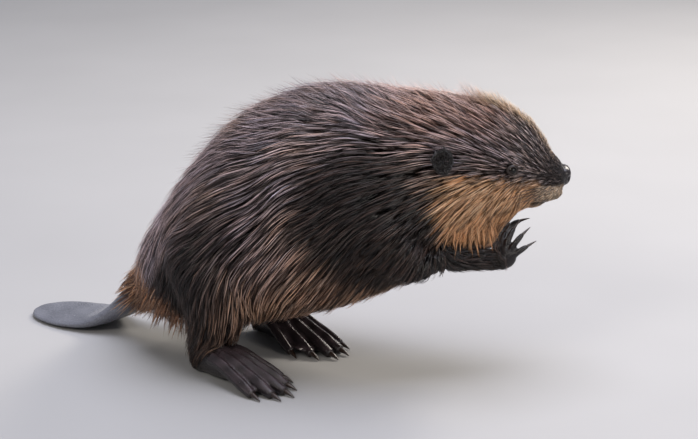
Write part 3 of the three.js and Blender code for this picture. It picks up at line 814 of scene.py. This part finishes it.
def blades(path, height, width, spread, colours, rng, count=5, rings=3, gather=0.1, lift=(0.5, 0.85, 1.0)):
    """Pointed locks of hair. A lock's blades start spread round its root and draw together towards its
    tip, and rise off the hide to its height by the shares in lift. A blade is a three-sided spike of some
    rings and a tip; its colour holds a painted highlight on the ridge, painted shade on its sides and
    painted shade towards its root. No colour is brighter than 0.85.

    Returns points and colours (blades, 3·rings + 1, 3), and each blade's lock.
    """
    feet, normals, flows = path
    lock = np.repeat(np.arange(len(feet)), count)
    total = len(lock)
    angle = rng.uniform(0, 2 * math.pi, total)
    radius = np.sqrt(rng.random(total)) * spread[lock]
    stray = rng.uniform(0, 2 * math.pi, total)
    at_ring = np.linspace(0, 1, rings + 1)
    draw = np.interp(at_ring, [0, 0.33, 0.67, 1], [1.0, 0.74, 0.4, gather])
    rise = np.interp(at_ring, [0, 0.33, 0.67, 1], [-0.08, *lift])
    tall = height[lock] * rng.uniform(0.6, 1.0, total)
    along = radius[:, None] * (np.cos(angle)[:, None] * draw + 0.12 * np.cos(stray)[:, None])
    aside = radius[:, None] * (np.sin(angle)[:, None] * draw + 0.12 * np.sin(stray)[:, None])
    step = at_ring[None] * rng.uniform(0.78, 1.05, total)[:, None] * 3
    low = np.clip(step.astype(int), 0, 2)
    part = (step - low)[..., None]
    rows = lock[:, None]
    normal = unit(normals[rows, low] * (1 - part) + normals[rows, low + 1] * part)
    flow = unit(flows[rows, low] * (1 - part) + flows[rows, low + 1] * part)
    side = np.cross(normal, flow)
    spine = feet[rows, low] * (1 - part) + feet[rows, low + 1] * part
    spine = (spine + flow * along[..., None] + side * aside[..., None]
             + normal * (tall[:, None] * rise)[..., None])

    taper = np.interp(at_ring[:-1], [0, 0.33, 0.67], [0.8, 1.0, 0.66])
    wide = (width[lock] * rng.uniform(0.7, 1.25, total))[:, None] * taper
    across, up = side[:, :-1] * (wide / 2)[..., None], normal[:, :-1] * (wide * 0.45)[..., None]
    points = np.stack([spine[:, :-1] - across, spine[:, :-1] + across, spine[:, :-1] + up],
                      2).reshape(total, -1, 3)
    points = np.concatenate([points, spine[:, -1:]], 1)
    body, tips = colours
    fade = np.append(np.repeat(at_ring[:-1], 3), 1.0)[None, :, None]
    # Painted highlight and shade: of each ring's three corners, the ridge is lighter and the two sides
    # darker.
    ridge = np.append(np.tile([0.62, 0.62, 1.35], rings), 1.0)[None, :, None]
    light = np.exp(rng.normal(0, 0.22, total) + rng.normal(-0.06, 0.36, len(feet))[lock])[:, None, None]
    warm = rng.normal(0, 0.06, len(feet))[lock]
    light = light * np.stack([1 + warm, np.ones(total), 1 - warm], -1)[:, None]
    # Painted shade: each blade is darker towards its root, less so where the coat's middle is pale.
    root = 0.32 + 0.45 * np.clip(body[lock].mean(-1) / 0.2, 0, 1)[:, None, None]
    shade = root + (1 - root) * np.minimum(1, fade * 2.0)
    tone = body[lock][:, None] * (1 - fade) + (0.25 * body[lock] + 0.75 * tips[lock])[:, None] * fade
    tone = tone * light * shade * ridge
    return points, tone / np.maximum(1, tone.max(-1, keepdims=True) / 0.85), lock


def coat_piece(name, points, colour, uv, material):
    """One mesh of many blades, with their colours and their patches of the unwrap."""
    count, corners = points.shape[:2]
    rings = (corners - 1) // 3
    band = np.array([[k, (k + 1) % 3, (k + 1) % 3 + 3, k + 3] for k in range(3)])
    quads = np.concatenate([band + 3 * r for r in range(rings - 1)]).reshape(-1)
    last = 3 * (rings - 1)
    tris = np.array([[last + k, last + (k + 1) % 3, corners - 1] for k in range(3)] + [[2, 1, 0]]).reshape(-1)
    corner = np.concatenate([quads, tris])[None] + (np.arange(count) * corners)[:, None]
    sizes = np.tile([4] * (3 * (rings - 1)) + [3] * 4, count)
    mesh = bpy.data.meshes.new(name)
    mesh.vertices.add(count * corners)
    mesh.vertices.foreach_set("co", into_frame(points.reshape(-1, 3)).astype(np.float32).ravel())
    mesh.loops.add(corner.size)
    mesh.loops.foreach_set("vertex_index", corner.ravel().astype(np.int32))
    mesh.polygons.add(len(sizes))
    starts = np.concatenate([[0], np.cumsum(sizes)[:-1]])
    mesh.polygons.foreach_set("loop_start", starts.astype(np.int32))
    mesh.update(calc_edges=True)
    mesh.shade_smooth()
    layer = mesh.attributes.new("markings", "FLOAT_COLOR", "POINT")
    shown = np.column_stack([np.clip(colour, 0, 1).reshape(-1, 3), np.ones(count * corners)])
    layer.data.foreach_set("color", shown.astype(np.float32).ravel())
    spot = np.empty((corners, 2))
    spot[:, 0] = np.append(np.tile([0.0, 1.0, 0.5], rings), 0.5)
    spot[:, 1] = np.append(np.repeat(np.arange(rings) / rings, 3), 1.0)
    place = (uv[:, None] + (spot[None] - 0.5) * 0.003).reshape(-1, 2)
    wrap = mesh.uv_layers.new(name="OFBake")
    wrap.uv.foreach_set("vector", place[corner.ravel()].astype(np.float32).ravel())
    mesh.materials.append(material)
    thing = bpy.data.objects.new(name, mesh)
    bpy.context.collection.objects.link(thing)
    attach(thing, "root")
    return thing


HAIR_LENGTHS = [3, 8, 16, 28, 44]  # at which the coat's density is given
MOST_IN_A_PIECE = 190000  # triangles


def grow_coat(dense, lie, material):
    """Three layers of locks all over the furred hide, loose hairs that stand out along the back and the
    head, and hair that hangs from the throat and the rump.

    The under layer is short, broad and dark. Over it lie narrow guard hairs in pointed locks, and over
    those the longest ones, drawn together to wet points and further apart, pale and bright at their tips as a
    painted highlight of wet hair. The loose hairs and the brow hairs are pale too, a painted rim light.
    """
    rng = np.random.default_rng(7)
    points, normals, long_ = lie["points"], lie["normals"], lie["long"]
    at = near_hide(points, np.column_stack([points, normals, lie["flow"]]))
    furred = ease(-lie["bare"], -0.6, -0.2) * (1 + 0.35 * ease(points[:, 0], 195, 245))
    for s in (RIGHT, LEFT):
        furred *= 1 + 1.2 * ease(-np.linalg.norm(points - eye_centre(s), axis=1), -26, -16)
    ridge = ease(normals[:, 2], 0.45, 0.9) * ease(points[:, 0], -150, -90) * ease(-points[:, 0], -326, -300)
    brow = ease(normals[:, 2], 0.2, 0.5) * ease(points[:, 0], 215, 240) * ease(-points[:, 0], -335, -318)
    brow *= ease(-np.abs(points[:, 1] - HEAD_Y), -19, -9)
    x, _, z = points.T
    throat = ease(x, 192, 208) * ease(-x, -258, -246) * ease(z, 197, 203) * ease(-z, -224, -214)
    rump = ease(130 - 0.94 * (x + 204) - z, 0, 16) * ease(-x, 128, 146) * ease(z, 38, 50)
    hem = np.maximum(throat * ease(np.abs(points[:, 1] - HEAD_Y), 30, 42), rump)
    # For each layer: its locks by area, the shape of a lock, its length and height as shares of the coat's,
    # the widths and spreads of its blades at four lengths of hair, and how pale and bright its tips are
    layers = (
        ("under", furred * np.interp(long_, HAIR_LENGTHS, [0.12, 0.058, 0.032, 0.0205, 0.016]),
         dict(count=4, rings=2, gather=0.2), 0.85, 0.68, [0.8, 1.3, 2.2, 3.4], [1.5, 2.6, 3.8, 5.5],
         (0.0, 0.45)),
        ("guard", furred * np.interp(long_, HAIR_LENGTHS, [0.09, 0.047, 0.026, 0.0148, 0.0112]),
         dict(count=5, rings=3, gather=0.08), 1.5, 0.95, [0.55, 0.8, 1.1, 1.45], [1.0, 1.8, 2.8, 4.6],
         (0.32, 0.74)),
        # Painted highlight: the point layer's tips are pale and bright, as wet hair that catches the sky.
        ("point", furred * np.interp(long_, HAIR_LENGTHS, [0.042, 0.031, 0.024, 0.017, 0.0138]),
         dict(count=2, rings=4, gather=0.02, lift=(0.7, 1.0, 1.12)), 1.65, 1.08, [0.4, 0.52, 0.68, 0.86],
         [0.5, 0.8, 1.1, 1.5], (1.0, 2.45)),
        # Painted rim light: the loose and brow layers' tips are pale and bright, as hair lit from behind.
        ("loose", furred * ridge * 0.028,
         dict(count=1, rings=3, gather=1.0, lift=(0.5, 1.0, 1.6)), 1.0, 1.35, [0.5, 0.5, 0.6, 0.75],
         [1, 1, 1, 1], (1.0, 1.9)),
        ("brow", furred * brow * 0.06,
         dict(count=3, rings=3, gather=0.1, lift=(0.7, 1.4, 2.0)), 1.0, 1.45, [0.7, 0.8, 0.9, 1.0],
         [2, 2, 2, 2], (1.0, 1.8)),
        ("hem", furred * hem * 0.055,
         dict(count=3, rings=3, gather=0.55), 0.95, 0.2, [0.5, 0.6, 0.75, 0.9], [1.5, 2.2, 3.0, 3.6],
         (0.8, 1.25)),
    )
    for name, density, shape, longer, taller, widths, spreads, (pale, bright) in layers:
        corner, share = scatter(dense, density, rng)
        roots = (points[corner] * share[..., None]).sum(1)
        length = (long_[corner] * share).sum(1) * rng.uniform(0.72, 1.12, len(roots)) * longer
        deep = (lie["deep"][corner] * share).sum(1)
        height = deep * taller * (0.88 + 0.22 * ripple(roots, 22, 21))
        path = walk(at, roots, length)
        seen = 0 if name == "hem" else 1
        body, tips, _ = markings(path[0][:, seen], path[1][:, seen], np.zeros(len(roots)))
        if name == "hem":
            path = hanging(path, length, rng, 0.72, 0.4)
        steps = [3, 10, 20, 45]
        fine = 1 - 0.3 * ease(roots[:, 0], 195, 245)
        made, colour, lock = blades(path, height, np.interp(length, steps, widths) * fine,
                                    np.interp(length, steps, spreads) * fine,
                                    (body * min(bright, 1), (body + (tips - body) * pale) * bright), rng,
                                    **shape)
        made[..., 2] = np.maximum(made[..., 2], 0.2)
        uv = unwrap(roots)[lock]
        order = np.argsort(roots[lock][:, 0], kind="stable")
        pieces = int(np.ceil(len(made) * (6 * shape["rings"] - 2) / MOST_IN_A_PIECE))
        print("coat", name, len(made), "blades in", pieces)
        for k, chosen in enumerate(np.array_split(order, pieces)):
            coat_piece("coat_%s_%02d" % (name, k + 1), made[chosen], colour[chosen], uv[chosen], material)


# ---------------------------------------------------------------------------------------------
# Materials
# ---------------------------------------------------------------------------------------------
def rgba(code):
    """A hex colour as linear red, green and blue, with an alpha of 1."""
    return (*linear(code), 1.0)


def add(tree, kind, inputs=None, **settings):
    """Adds a node. settings are its properties; inputs are its sockets, each a value or (node, output)."""
    made = tree.nodes.new("ShaderNode" + kind)
    for key, value in settings.items():
        setattr(made, key, value)
    for key, value in (inputs or {}).items():
        if isinstance(value, tuple) and isinstance(value[0], bpy.types.Node):
            tree.links.new(value[0].outputs[value[1]], made.inputs[key])
        else:
            made.inputs[key].default_value = value
    return made


def new_material(name):
    """An empty material, and its node tree."""
    made = bpy.data.materials.new(name)
    made.use_nodes = True
    made.node_tree.nodes.clear()
    return made, made.node_tree


def guard_hair():
    """Wet guard hair: keratin, IOR 1.55, dark and glossy, with a cool sheen along each lock that is partly a
    painted highlight in its colour, and painted shade at the locks' roots.
    """
    made, tree = new_material("wet_guard_hair")
    tint = add(tree, "Attribute", attribute_name="markings")
    shader = add(tree, "BsdfPrincipled", {
        "Base Color": (tint, "Color"), "Roughness": 0.33, "IOR": 1.55, "Specular IOR Level": 0.6})
    add(tree, "OutputMaterial", {"Surface": (shader, "BSDF")})
    return made


def beaver_hide():
    """The hide: dull skin under the coat, creased leathery skin on feet and hands, scales on the tail."""
    made, tree = new_material("creased_hide_and_scales")
    tint = add(tree, "Attribute", attribute_name="markings")
    bare = add(tree, "Attribute", attribute_name="bareness")
    scaly = add(tree, "Attribute", attribute_name="scaliness")
    place = add(tree, "TexCoord")
    # creases about 1.3 mm apart
    creases = add(tree, "TexVoronoi", {"Vector": (place, "Object"), "Scale": 1 / 0.0013},
                  feature="DISTANCE_TO_EDGE")
    # scales of the tail: rows across it, each about 4.5 mm by 3 mm
    turned = add(tree, "Mapping", {"Vector": (place, "Object"), "Rotation": (0, 0, math.radians(32.5)),
                                   "Scale": (1 / 0.0036, 1 / 0.0052, 1 / 0.006)})
    plates = add(tree, "TexVoronoi", {"Vector": (turned, "Vector"), "Scale": 1.0, "Randomness": 0.55},
                 feature="DISTANCE_TO_EDGE")
    plate = add(tree, "MapRange", {"Value": (plates, "Distance"), "From Min": 0.0, "From Max": 0.14})
    crease = add(tree, "MapRange", {"Value": (creases, "Distance"), "From Min": 0.0, "From Max": 0.3})
    relief = add(tree, "Mix", {"Factor": (scaly, "Fac"), 2: (crease, "Result"), 3: (plate, "Result")},
                 data_type="FLOAT")
    # Painted shade: the colour darkens down into the creases and between the tail's scales.
    shade = add(tree, "MapRange", {"Value": (relief, "Result"), "To Min": 0.72, "To Max": 1.05})
    colour = add(tree, "Mix", {"Factor": 1.0, 6: (tint, "Color"), 7: (shade, "Result")}, data_type="RGBA",
                 blend_type="MULTIPLY")
    grain = add(tree, "TexNoise", {"Vector": (place, "Object"), "Scale": 1 / 0.004, "Detail": 4.0})
    moist = add(tree, "MapRange", {"Value": (grain, "Fac"), "To Min": 0.12, "To Max": 0.34})
    gloss = add(tree, "Mix", {"Factor": (bare, "Fac"), 2: 0.9, 3: (moist, "Result")}, data_type="FLOAT")
    lift = add(tree, "Math", {0: (relief, "Result"), 1: (bare, "Fac")}, operation="MULTIPLY")
    bump = add(tree, "Bump", {"Strength": 0.3, "Distance": 0.0004, "Height": (lift, "Value")})
    shader = add(tree, "BsdfPrincipled", {
        "Base Color": (colour, "Result"), "Roughness": (gloss, "Result"), "IOR": 1.45,
        "Normal": (bump, "Normal")})
    add(tree, "OutputMaterial", {"Surface": (shader, "BSDF")})
    return made


def bare_leather(name, pale, dark, roughness):
    """Bare cobbled skin, two tones of it, with cobbles about 1.2 mm across."""
    made, tree = new_material(name)
    place = add(tree, "TexCoord")
    cobbles = add(tree, "TexVoronoi", {"Vector": (place, "Object"), "Scale": 1 / 0.0012}, feature="SMOOTH_F1")
    bump = add(tree, "Bump", {"Strength": 0.5, "Distance": 0.0004, "Height": (cobbles, "Distance")},
               invert=True)
    # Painted shade: each cobble is pale in its middle and darker towards the grooves between them.
    colour = add(tree, "Mix", {"Factor": (cobbles, "Distance"), 6: rgba(pale), 7: rgba(dark)},
                 data_type="RGBA")
    shader = add(tree, "BsdfPrincipled",
                 {"Base Color": (colour, "Result"), "Roughness": roughness, "IOR": 1.45,
                                          "Normal": (bump, "Normal")})
    add(tree, "OutputMaterial", {"Surface": (shader, "BSDF")})
    return made


def eye_cornea():
    """The eye: a near-black brown iris with a black pupil, in one wet glossy surface of the cornea's IOR
    1.376.
    """
    made, tree = new_material("wet_eye")
    ring = add(tree, "Attribute", attribute_name="off_axis")
    iris = add(tree, "ValToRGB", {"Fac": (ring, "Fac")})
    ramp = iris.color_ramp
    ramp.elements[0].position, ramp.elements[0].color = 0.30, rgba("#040303")
    ramp.elements[1].position, ramp.elements[1].color = 0.42, rgba("#1c0f09")
    edge = ramp.elements.new(0.75)
    edge.color = rgba("#0a0605")
    shader = add(tree, "BsdfPrincipled", {"Base Color": (iris, "Color"), "Roughness": 0.03, "IOR": 1.376})
    add(tree, "OutputMaterial", {"Surface": (shader, "BSDF")})
    return made


def claw_horn():
    """Claws: keratin horn, dark brown, smooth, with fine growth lines about 0.6 mm apart."""
    made, tree = new_material("dark_claw_keratin")
    place = add(tree, "TexCoord")
    lines = add(tree, "TexNoise", {"Vector": (place, "Object"), "Scale": 1 / 0.0015, "Detail": 3.0})
    colour = add(tree, "Mix", {"Factor": (lines, "Fac"), 6: rgba("#15100e"), 7: rgba("#3c2c25")},
                 data_type="RGBA")
    bump = add(tree, "Bump", {"Strength": 0.25, "Distance": 0.0002, "Height": (lines, "Fac")})
    shader = add(tree, "BsdfPrincipled", {"Base Color": (colour, "Result"), "Roughness": 0.28, "IOR": 1.54,
                                          "Normal": (bump, "Normal")})
    add(tree, "OutputMaterial", {"Surface": (shader, "BSDF")})
    return made


def studio_paper():
    """The floor: plain pale matt paper."""
    made, tree = new_material("studio_paper")
    place = add(tree, "TexCoord")
    grain = add(tree, "TexNoise", {"Vector": (place, "Object"), "Scale": 3.0})
    colour = add(tree, "Mix", {"Factor": (grain, "Fac"), 6: rgba("#a2a1a0"), 7: rgba("#aaa9a8")},
                 data_type="RGBA")
    shader = add(tree, "BsdfPrincipled", {"Base Color": (colour, "Result"), "Roughness": 0.8})
    add(tree, "OutputMaterial", {"Surface": (shader, "BSDF")})
    return made


# ---------------------------------------------------------------------------------------------
# Eyes, nose, ears and claws
# ---------------------------------------------------------------------------------------------
def eyeball(s, material):
    """A sphere whose poles lie on the line of sight, with off_axis from 0 at the pupil to 1 behind."""
    look = unit(np.array([0.42, s * 0.88, 0.12]))
    side = unit(np.cross(look, [0, 0, 1.0]))
    up = np.cross(side, look)
    v = np.linspace(0, math.pi, 34)[1:-1, None]
    u = np.linspace(0, 2 * math.pi, 48, endpoint=False)[None, :]
    r = EYE["radius"]
    grid = (np.cos(v)[..., None] * look + (np.sin(v) * np.cos(u))[..., None] * side
            + (np.sin(v) * np.sin(u))[..., None] * up) * r
    centre = eye_centre(s)
    points, faces = outward(*closed(grid + centre, centre + look * r, centre - look * r))
    name = "eye_ball_" + ("right" if s == RIGHT else "left")
    thing = make_object(name, points, faces, material)
    axis = np.degrees(np.arccos(np.clip(unit(points - centre) @ look, -1, 1))) / 90
    layer = thing.data.attributes.new("off_axis", "FLOAT", "POINT")
    layer.data.foreach_set("value", axis.astype(np.float32))
    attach(thing, "root")
    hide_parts("eye_" + ("right" if s == RIGHT else "left"))
    return thing


def eyelids(s, material):
    """A ring of lid round the eye: an oval tube whose middle follows an almond on the eyeball, and which
    slopes back by 0.8 of its width into the face."""
    look = unit(np.array([0.25, s * 0.96, 0.1]))
    side = unit(np.cross(look, [0, 0, 1.0]))
    up = np.cross(side, look)
    u = np.linspace(0, 2 * math.pi, 64, endpoint=False)
    almond = np.stack([6.4 * np.cos(u), 5.3 * np.sin(u) * (1 - 0.15 * np.cos(u) ** 2)], -1)
    depth = np.sqrt(np.maximum((EYE["radius"] + 0.3) ** 2 - (almond**2).sum(1), 4.0))
    middle = eye_centre(s) + almond[:, :1] * side + almond[:, 1:] * up + depth[:, None] * look
    outwards = unit(almond)[:, :1] * side + unit(almond)[:, 1:] * up
    v = np.linspace(0, 2 * math.pi, 16, endpoint=False)
    reach = 1.5 * np.cos(v) + 0.5
    grid = (middle[:, None] + reach[None, :, None] * outwards[:, None]
            + (0.6 * np.sin(v) - 0.8 * reach)[None, :, None] * look)
    n, m = grid.shape[:2]
    i, j = np.meshgrid(np.arange(n), np.arange(m), indexing="ij")
    k, l = (i + 1) % n, (j + 1) % m
    faces = np.stack([i * m + j, k * m + j, k * m + l, i * m + l], -1).reshape(-1, 4).tolist()
    points, faces = outward(grid.reshape(-1, 3), faces)
    thing = make_object("eyelid_" + ("right" if s == RIGHT else "left"), points, faces, material)
    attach(thing, "root")
    return thing


def nose_pad(material):
    """The nose pad: an ellipsoid squared to a power of 2.6, with a dent for each nostril, a slit behind it, a
    raised wing over it, and a groove down the middle."""
    radii = np.array([12.6, 17.6, 13.6])
    points, faces = ball([342, HEAD_Y, 265], radii, (0, 0.4, 0), 60, 90)
    centre = np.array([342, HEAD_Y, 265.0])
    square = unit((points - centre) / radii)
    points = centre + (points - centre) * ((np.abs(square) ** 2.6).sum(1) ** (-1 / 2.6) * 0.97)[:, None]
    out = unit(points - centre)
    dent = np.zeros(len(points))
    for s in (RIGHT, LEFT):
        hole = unit(np.array([0.62, s * 0.72, -0.18]))
        away = np.degrees(np.arccos(np.clip(out @ hole, -1, 1)))
        dent -= 4.6 * np.exp(-((away / 14) ** 2))
        slit = unit(np.array([0.25, s * 0.96, -0.02]))
        dent -= 2.2 * np.exp(-((np.degrees(np.arccos(np.clip(out @ slit, -1, 1))) / 11) ** 2))
        wing = unit(np.array([0.62, s * 0.66, 0.32]))
        dent += 0.9 * np.exp(-((np.degrees(np.arccos(np.clip(out @ wing, -1, 1))) / 16) ** 2))
    dent -= (1.3 * np.exp(-(((points[:, 1] - HEAD_Y) / 1.4) ** 2)) * ease(out[:, 0], 0.2, 0.6)
             * ease(-points[:, 2], -268, -258))
    thing = make_object("nose_pad", points + out * dent[:, None], faces, material)
    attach(thing, "root")
    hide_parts("nose")
    return thing


def ear(s, material, hair):
    """An ear: a round leaf, cupped. Rings go out over its back to the rim and in over the hollow: the
    radius is sin v of an oval drawn in at its foot, the back bulges by cos v, and the hollow sinks by 1
    less the radius squared."""
    v = np.linspace(0, math.pi, 40)[1:-1]
    u = np.linspace(0, 2 * math.pi, 56, endpoint=False)
    radius = np.sin(v)
    back = v < math.pi / 2
    depth = np.where(back, -10.5 * np.cos(v), 1.8 * np.sqrt(np.abs(np.cos(v))) - 6.2 * (1 - radius**2))
    face = unit(np.array([math.cos(0.95), s * math.sin(0.95), 0.1]))
    up = unit(np.array([-0.18, s * 0.12, 0.97]) - face * (face @ np.array([-0.18, s * 0.12, 0.97])))
    across = np.cross(up, face)
    ragged = 1 + 0.03 * np.sin(3 * u + 1) + 0.02 * np.sin(7 * u)
    wide = 14.6 * radius[:, None] * np.cos(u) * ragged * (1 - 0.12 * np.clip(-np.sin(u), 0, 1) ** 2)
    tall = 16.4 * radius[:, None] * np.sin(u) * ragged
    centre = np.array([EAR["x"], HEAD_Y + s * EAR["out"], EAR["z"]])
    grid = (centre + wide[..., None] * across + tall[..., None] * up
            + (depth[:, None] + 0 * u)[..., None] * face)
    first, last = centre - face * 10.5, centre + face * (1.8 - 6.2)
    points, faces = outward(*closed(grid, first, last))
    side = "right" if s == RIGHT else "left"
    thing = make_object("ear_leaf_" + side, points, faces, material)
    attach(thing, "root")
    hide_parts("ear_" + side)
    # its short fur grows from the root, low and behind, out to the rim
    rng = np.random.default_rng(31)
    points, normals = mesh_points(thing.data)
    growth = unit(points - (centre - up * 24 - face * 4))
    at = near_hide(points, np.column_stack([points, normals, growth]), cell=3.0)
    corner, share = scatter(thing.data, np.full(len(points), 0.36), rng)
    roots = (points[corner] * share[..., None]).sum(1)
    out = np.hypot((roots - centre) @ across / 14.6, (roots - centre) @ up / 16.4)
    behind = ease(-((roots - centre) @ face), 0, 3)
    length = rng.uniform(1.8, 3.4, len(roots)) + 6.0 * ease(out, 0.8, 1.0) + 4.5 * behind
    tone = np.tile(TONE["soot"], (len(roots), 1)) * (0.45 + 0.6 * behind[:, None])
    made, colour, lock = blades(walk(at, roots, length), 0.5 + 2.1 * behind, np.full(len(roots), 0.55),
                                np.full(len(roots), 1.2), (tone, tone + 0.12 * TONE["umber"]), rng, count=3,
                                rings=2,
                                gather=0.3)
    coat_piece("ear_fur_" + side, made, colour, unwrap(roots)[lock], hair)


def claw(before, tip, length, radius, droop, up):
    """A claw: a spike whose middle is start + ahead·reach·t - up·droop·t², with radius (1 - 0.82·t^1.8)."""
    before, tip, up = (np.asarray(v, float) for v in (before, tip, up))
    ahead = unit(tip - before)
    start = tip - ahead * radius
    t = np.linspace(0, 1, 14)[:, None]
    middle = start + ahead * (length + radius) * t - up * droop * t * t
    size = radius * (1 - 0.82 * t[:, 0] ** 1.8)
    side = unit(np.cross(ahead, up))
    rows = np.column_stack([size * 0.85, size, size * 0.8, np.zeros(len(size))])
    return loft(middle, rows, side, 12, 26, (radius * 0.5, radius * 0.1), 2.0)


def claws(material):
    """All claws, one piece to each foot and hand."""
    for side, leg in LEGS.items():
        made = []
        for toe in TOES:
            places = toe_places(leg, toe)
            lift = np.array([0, 0, 2.0])
            made.append(claw(np.array([*places[-2][:2], places[-1][2]]) + lift, places[-1] + [0, 0, 1.5],
                             17, 4.3, 5, [0, 0, 1]))
        thing = make_object("toe_claws_" + side, *together(made), material)
        points = np.maximum(into_body([v.co for v in thing.data.vertices]), [-1e4, -1e4, 0.2])
        thing.data.vertices.foreach_set("co", into_frame(points).astype(np.float32).ravel())
        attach(thing, "root")
        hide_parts(*["toe_claw_%s_%d" % (side, k) for k in range(1, 6)])
    for side, arm in ARMS.items():
        away = np.array([-FACING[0], -arm["s"] * FACING[1], 0])
        made = []
        for finger in FINGERS:
            places = finger_places(arm, finger)
            made.append(claw(places[-2], places[-1], 11, 2.3, 4.5, away))
        thing = make_object("finger_claws_" + side, *together(made), material)
        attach(thing, "root")
        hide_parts(*["finger_claw_%s_%d" % (side, k) for k in range(1, 6)])


def whiskers(material):
    """Fine bristles on the upper lip: spikes bending back and down from rows along each pad."""
    rng = np.random.default_rng(5)
    made = []
    for s in (RIGHT, LEFT):
        for row in range(3):
            for k in range(5):
                root = np.array([332 - 5.5 * k - 2 * row, HEAD_Y + s * (29.5 - 0.5 * row + 0.9 * k),
                                 254 - 4.5 * row + 0.6 * k])
                out = unit(np.array([-0.55 - 0.15 * k, s * 0.8, 0.02 - 0.12 * row]) + rng.normal(0, 0.06, 3))
                length = 16 + 4 * k + rng.uniform(-3, 4)
                t = np.linspace(0, 1, 8)[:, None]
                middle = root - out * 3 + out * length * t + np.array([-0.35, 0, -0.1]) * length * t**2
                size = 0.36 * (1 - 0.3 * t[:, 0])
                made.append(loft(middle, np.column_stack([size, size, size, 0 * size]),
                                 np.array([0.1, 0.2, 1.0]), 5, 10,
                                 (0.2, 1.0)))
    thing = make_object("whiskers", *together(made), material)
    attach(thing, "root")


# ---------------------------------------------------------------------------------------------
# Camera, floor and light
# ---------------------------------------------------------------------------------------------
CAMERA_TARGET = [65.3, 0, 190.7]
CAMERA_TILT = 16  # degrees down
CAMERA_AWAY = 3.0  # metres
FOCAL_LENGTH, PICTURE_WIDTH = 2250, 698  # in pixels


def set_stage():
    """The camera, level across and tilted down at its target, the floor, four soft lamps and a dim world."""
    target = Vector(into_frame(CAMERA_TARGET))
    tilt = math.radians(CAMERA_TILT)
    back = Vector((0, -math.cos(tilt), math.sin(tilt)))
    camera = bpy.data.objects.new("camera", bpy.data.cameras.new("camera"))
    camera.data.sensor_width = 36
    camera.data.lens = FOCAL_LENGTH / PICTURE_WIDTH * camera.data.sensor_width
    camera.location = target + back * CAMERA_AWAY
    camera.rotation_euler = (-back).to_track_quat("-Z", "Y").to_euler()
    camera.data.clip_end = 60
    bpy.context.collection.objects.link(camera)
    bpy.context.scene.camera = camera

    floor = bpy.data.meshes.new("floor")
    floor.from_pydata([(-14, -14, 0), (14, -14, 0), (14, 14, 0), (-14, 14, 0)], [], [(0, 1, 2, 3)])
    floor.materials.append(studio_paper())
    ground = bpy.data.objects.new("floor", floor)
    bpy.context.collection.objects.link(ground)

    for name, place, size, power, tint in (
            ("sky", (0.5, 0.2, 3.4), 2.8, 148, "#eef0ff"),
            ("key", (-1.6, -2.6, 2.3), 1.0, 36, "#fff8ee"),
            ("fill", (2.4, -2.6, 1.1), 1.2, 37, "#fff8ef"),
            ("rim", (1.6, 2.0, 1.9), 0.9, 62, "#fff6ea")):
        lamp = bpy.data.lights.new(name, "AREA")
        lamp.size, lamp.energy, lamp.color = size, power, tuple(linear(tint))
        thing = bpy.data.objects.new(name, lamp)
        thing.location = place
        thing.rotation_euler = (Vector((0.05, 0, 0.2)) - Vector(place)).to_track_quat("-Z", "Y").to_euler()
        bpy.context.collection.objects.link(thing)
    world = bpy.data.worlds.new("studio")
    world.use_nodes = True
    world.node_tree.nodes["Background"].inputs["Color"].default_value = (0.86, 0.9, 1.0, 1)
    world.node_tree.nodes["Background"].inputs["Strength"].default_value = 0.3
    bpy.context.scene.world = world
    bpy.context.scene.view_settings.view_transform = "Standard"


FLESH = ["rump", "loins", "chest", "neck", "head", "lower_jaw", "tail_root", "tail"]
FLESH += [part + "_" + side for side in ("right", "left")
          for part in ("thigh", "shank", "hind_foot", "upper_arm", "forearm", "hand")]

set_stage()
hair = guard_hair()
lid_skin = bare_leather("eyelid_skin", "#2e2420", "#191311", 0.42)
ear_skin = bare_leather("dark_ear_skin", "#171211", "#0c0a09", 0.4)
dense, lie = hide_skin(beaver_hide())
grow_coat(dense, lie, hair)
bpy.data.meshes.remove(dense)
eye_material, horn = eye_cornea(), claw_horn()
nose_material = bare_leather("moist_nose_leather", "#2b2527", "#171314", 0.3)
for s in (RIGHT, LEFT):
    eyeball(s, eye_material)
    eyelids(s, lid_skin)
    ear(s, ear_skin, hair)
nose_pad(nose_material)
whiskers(horn)
claws(horn)
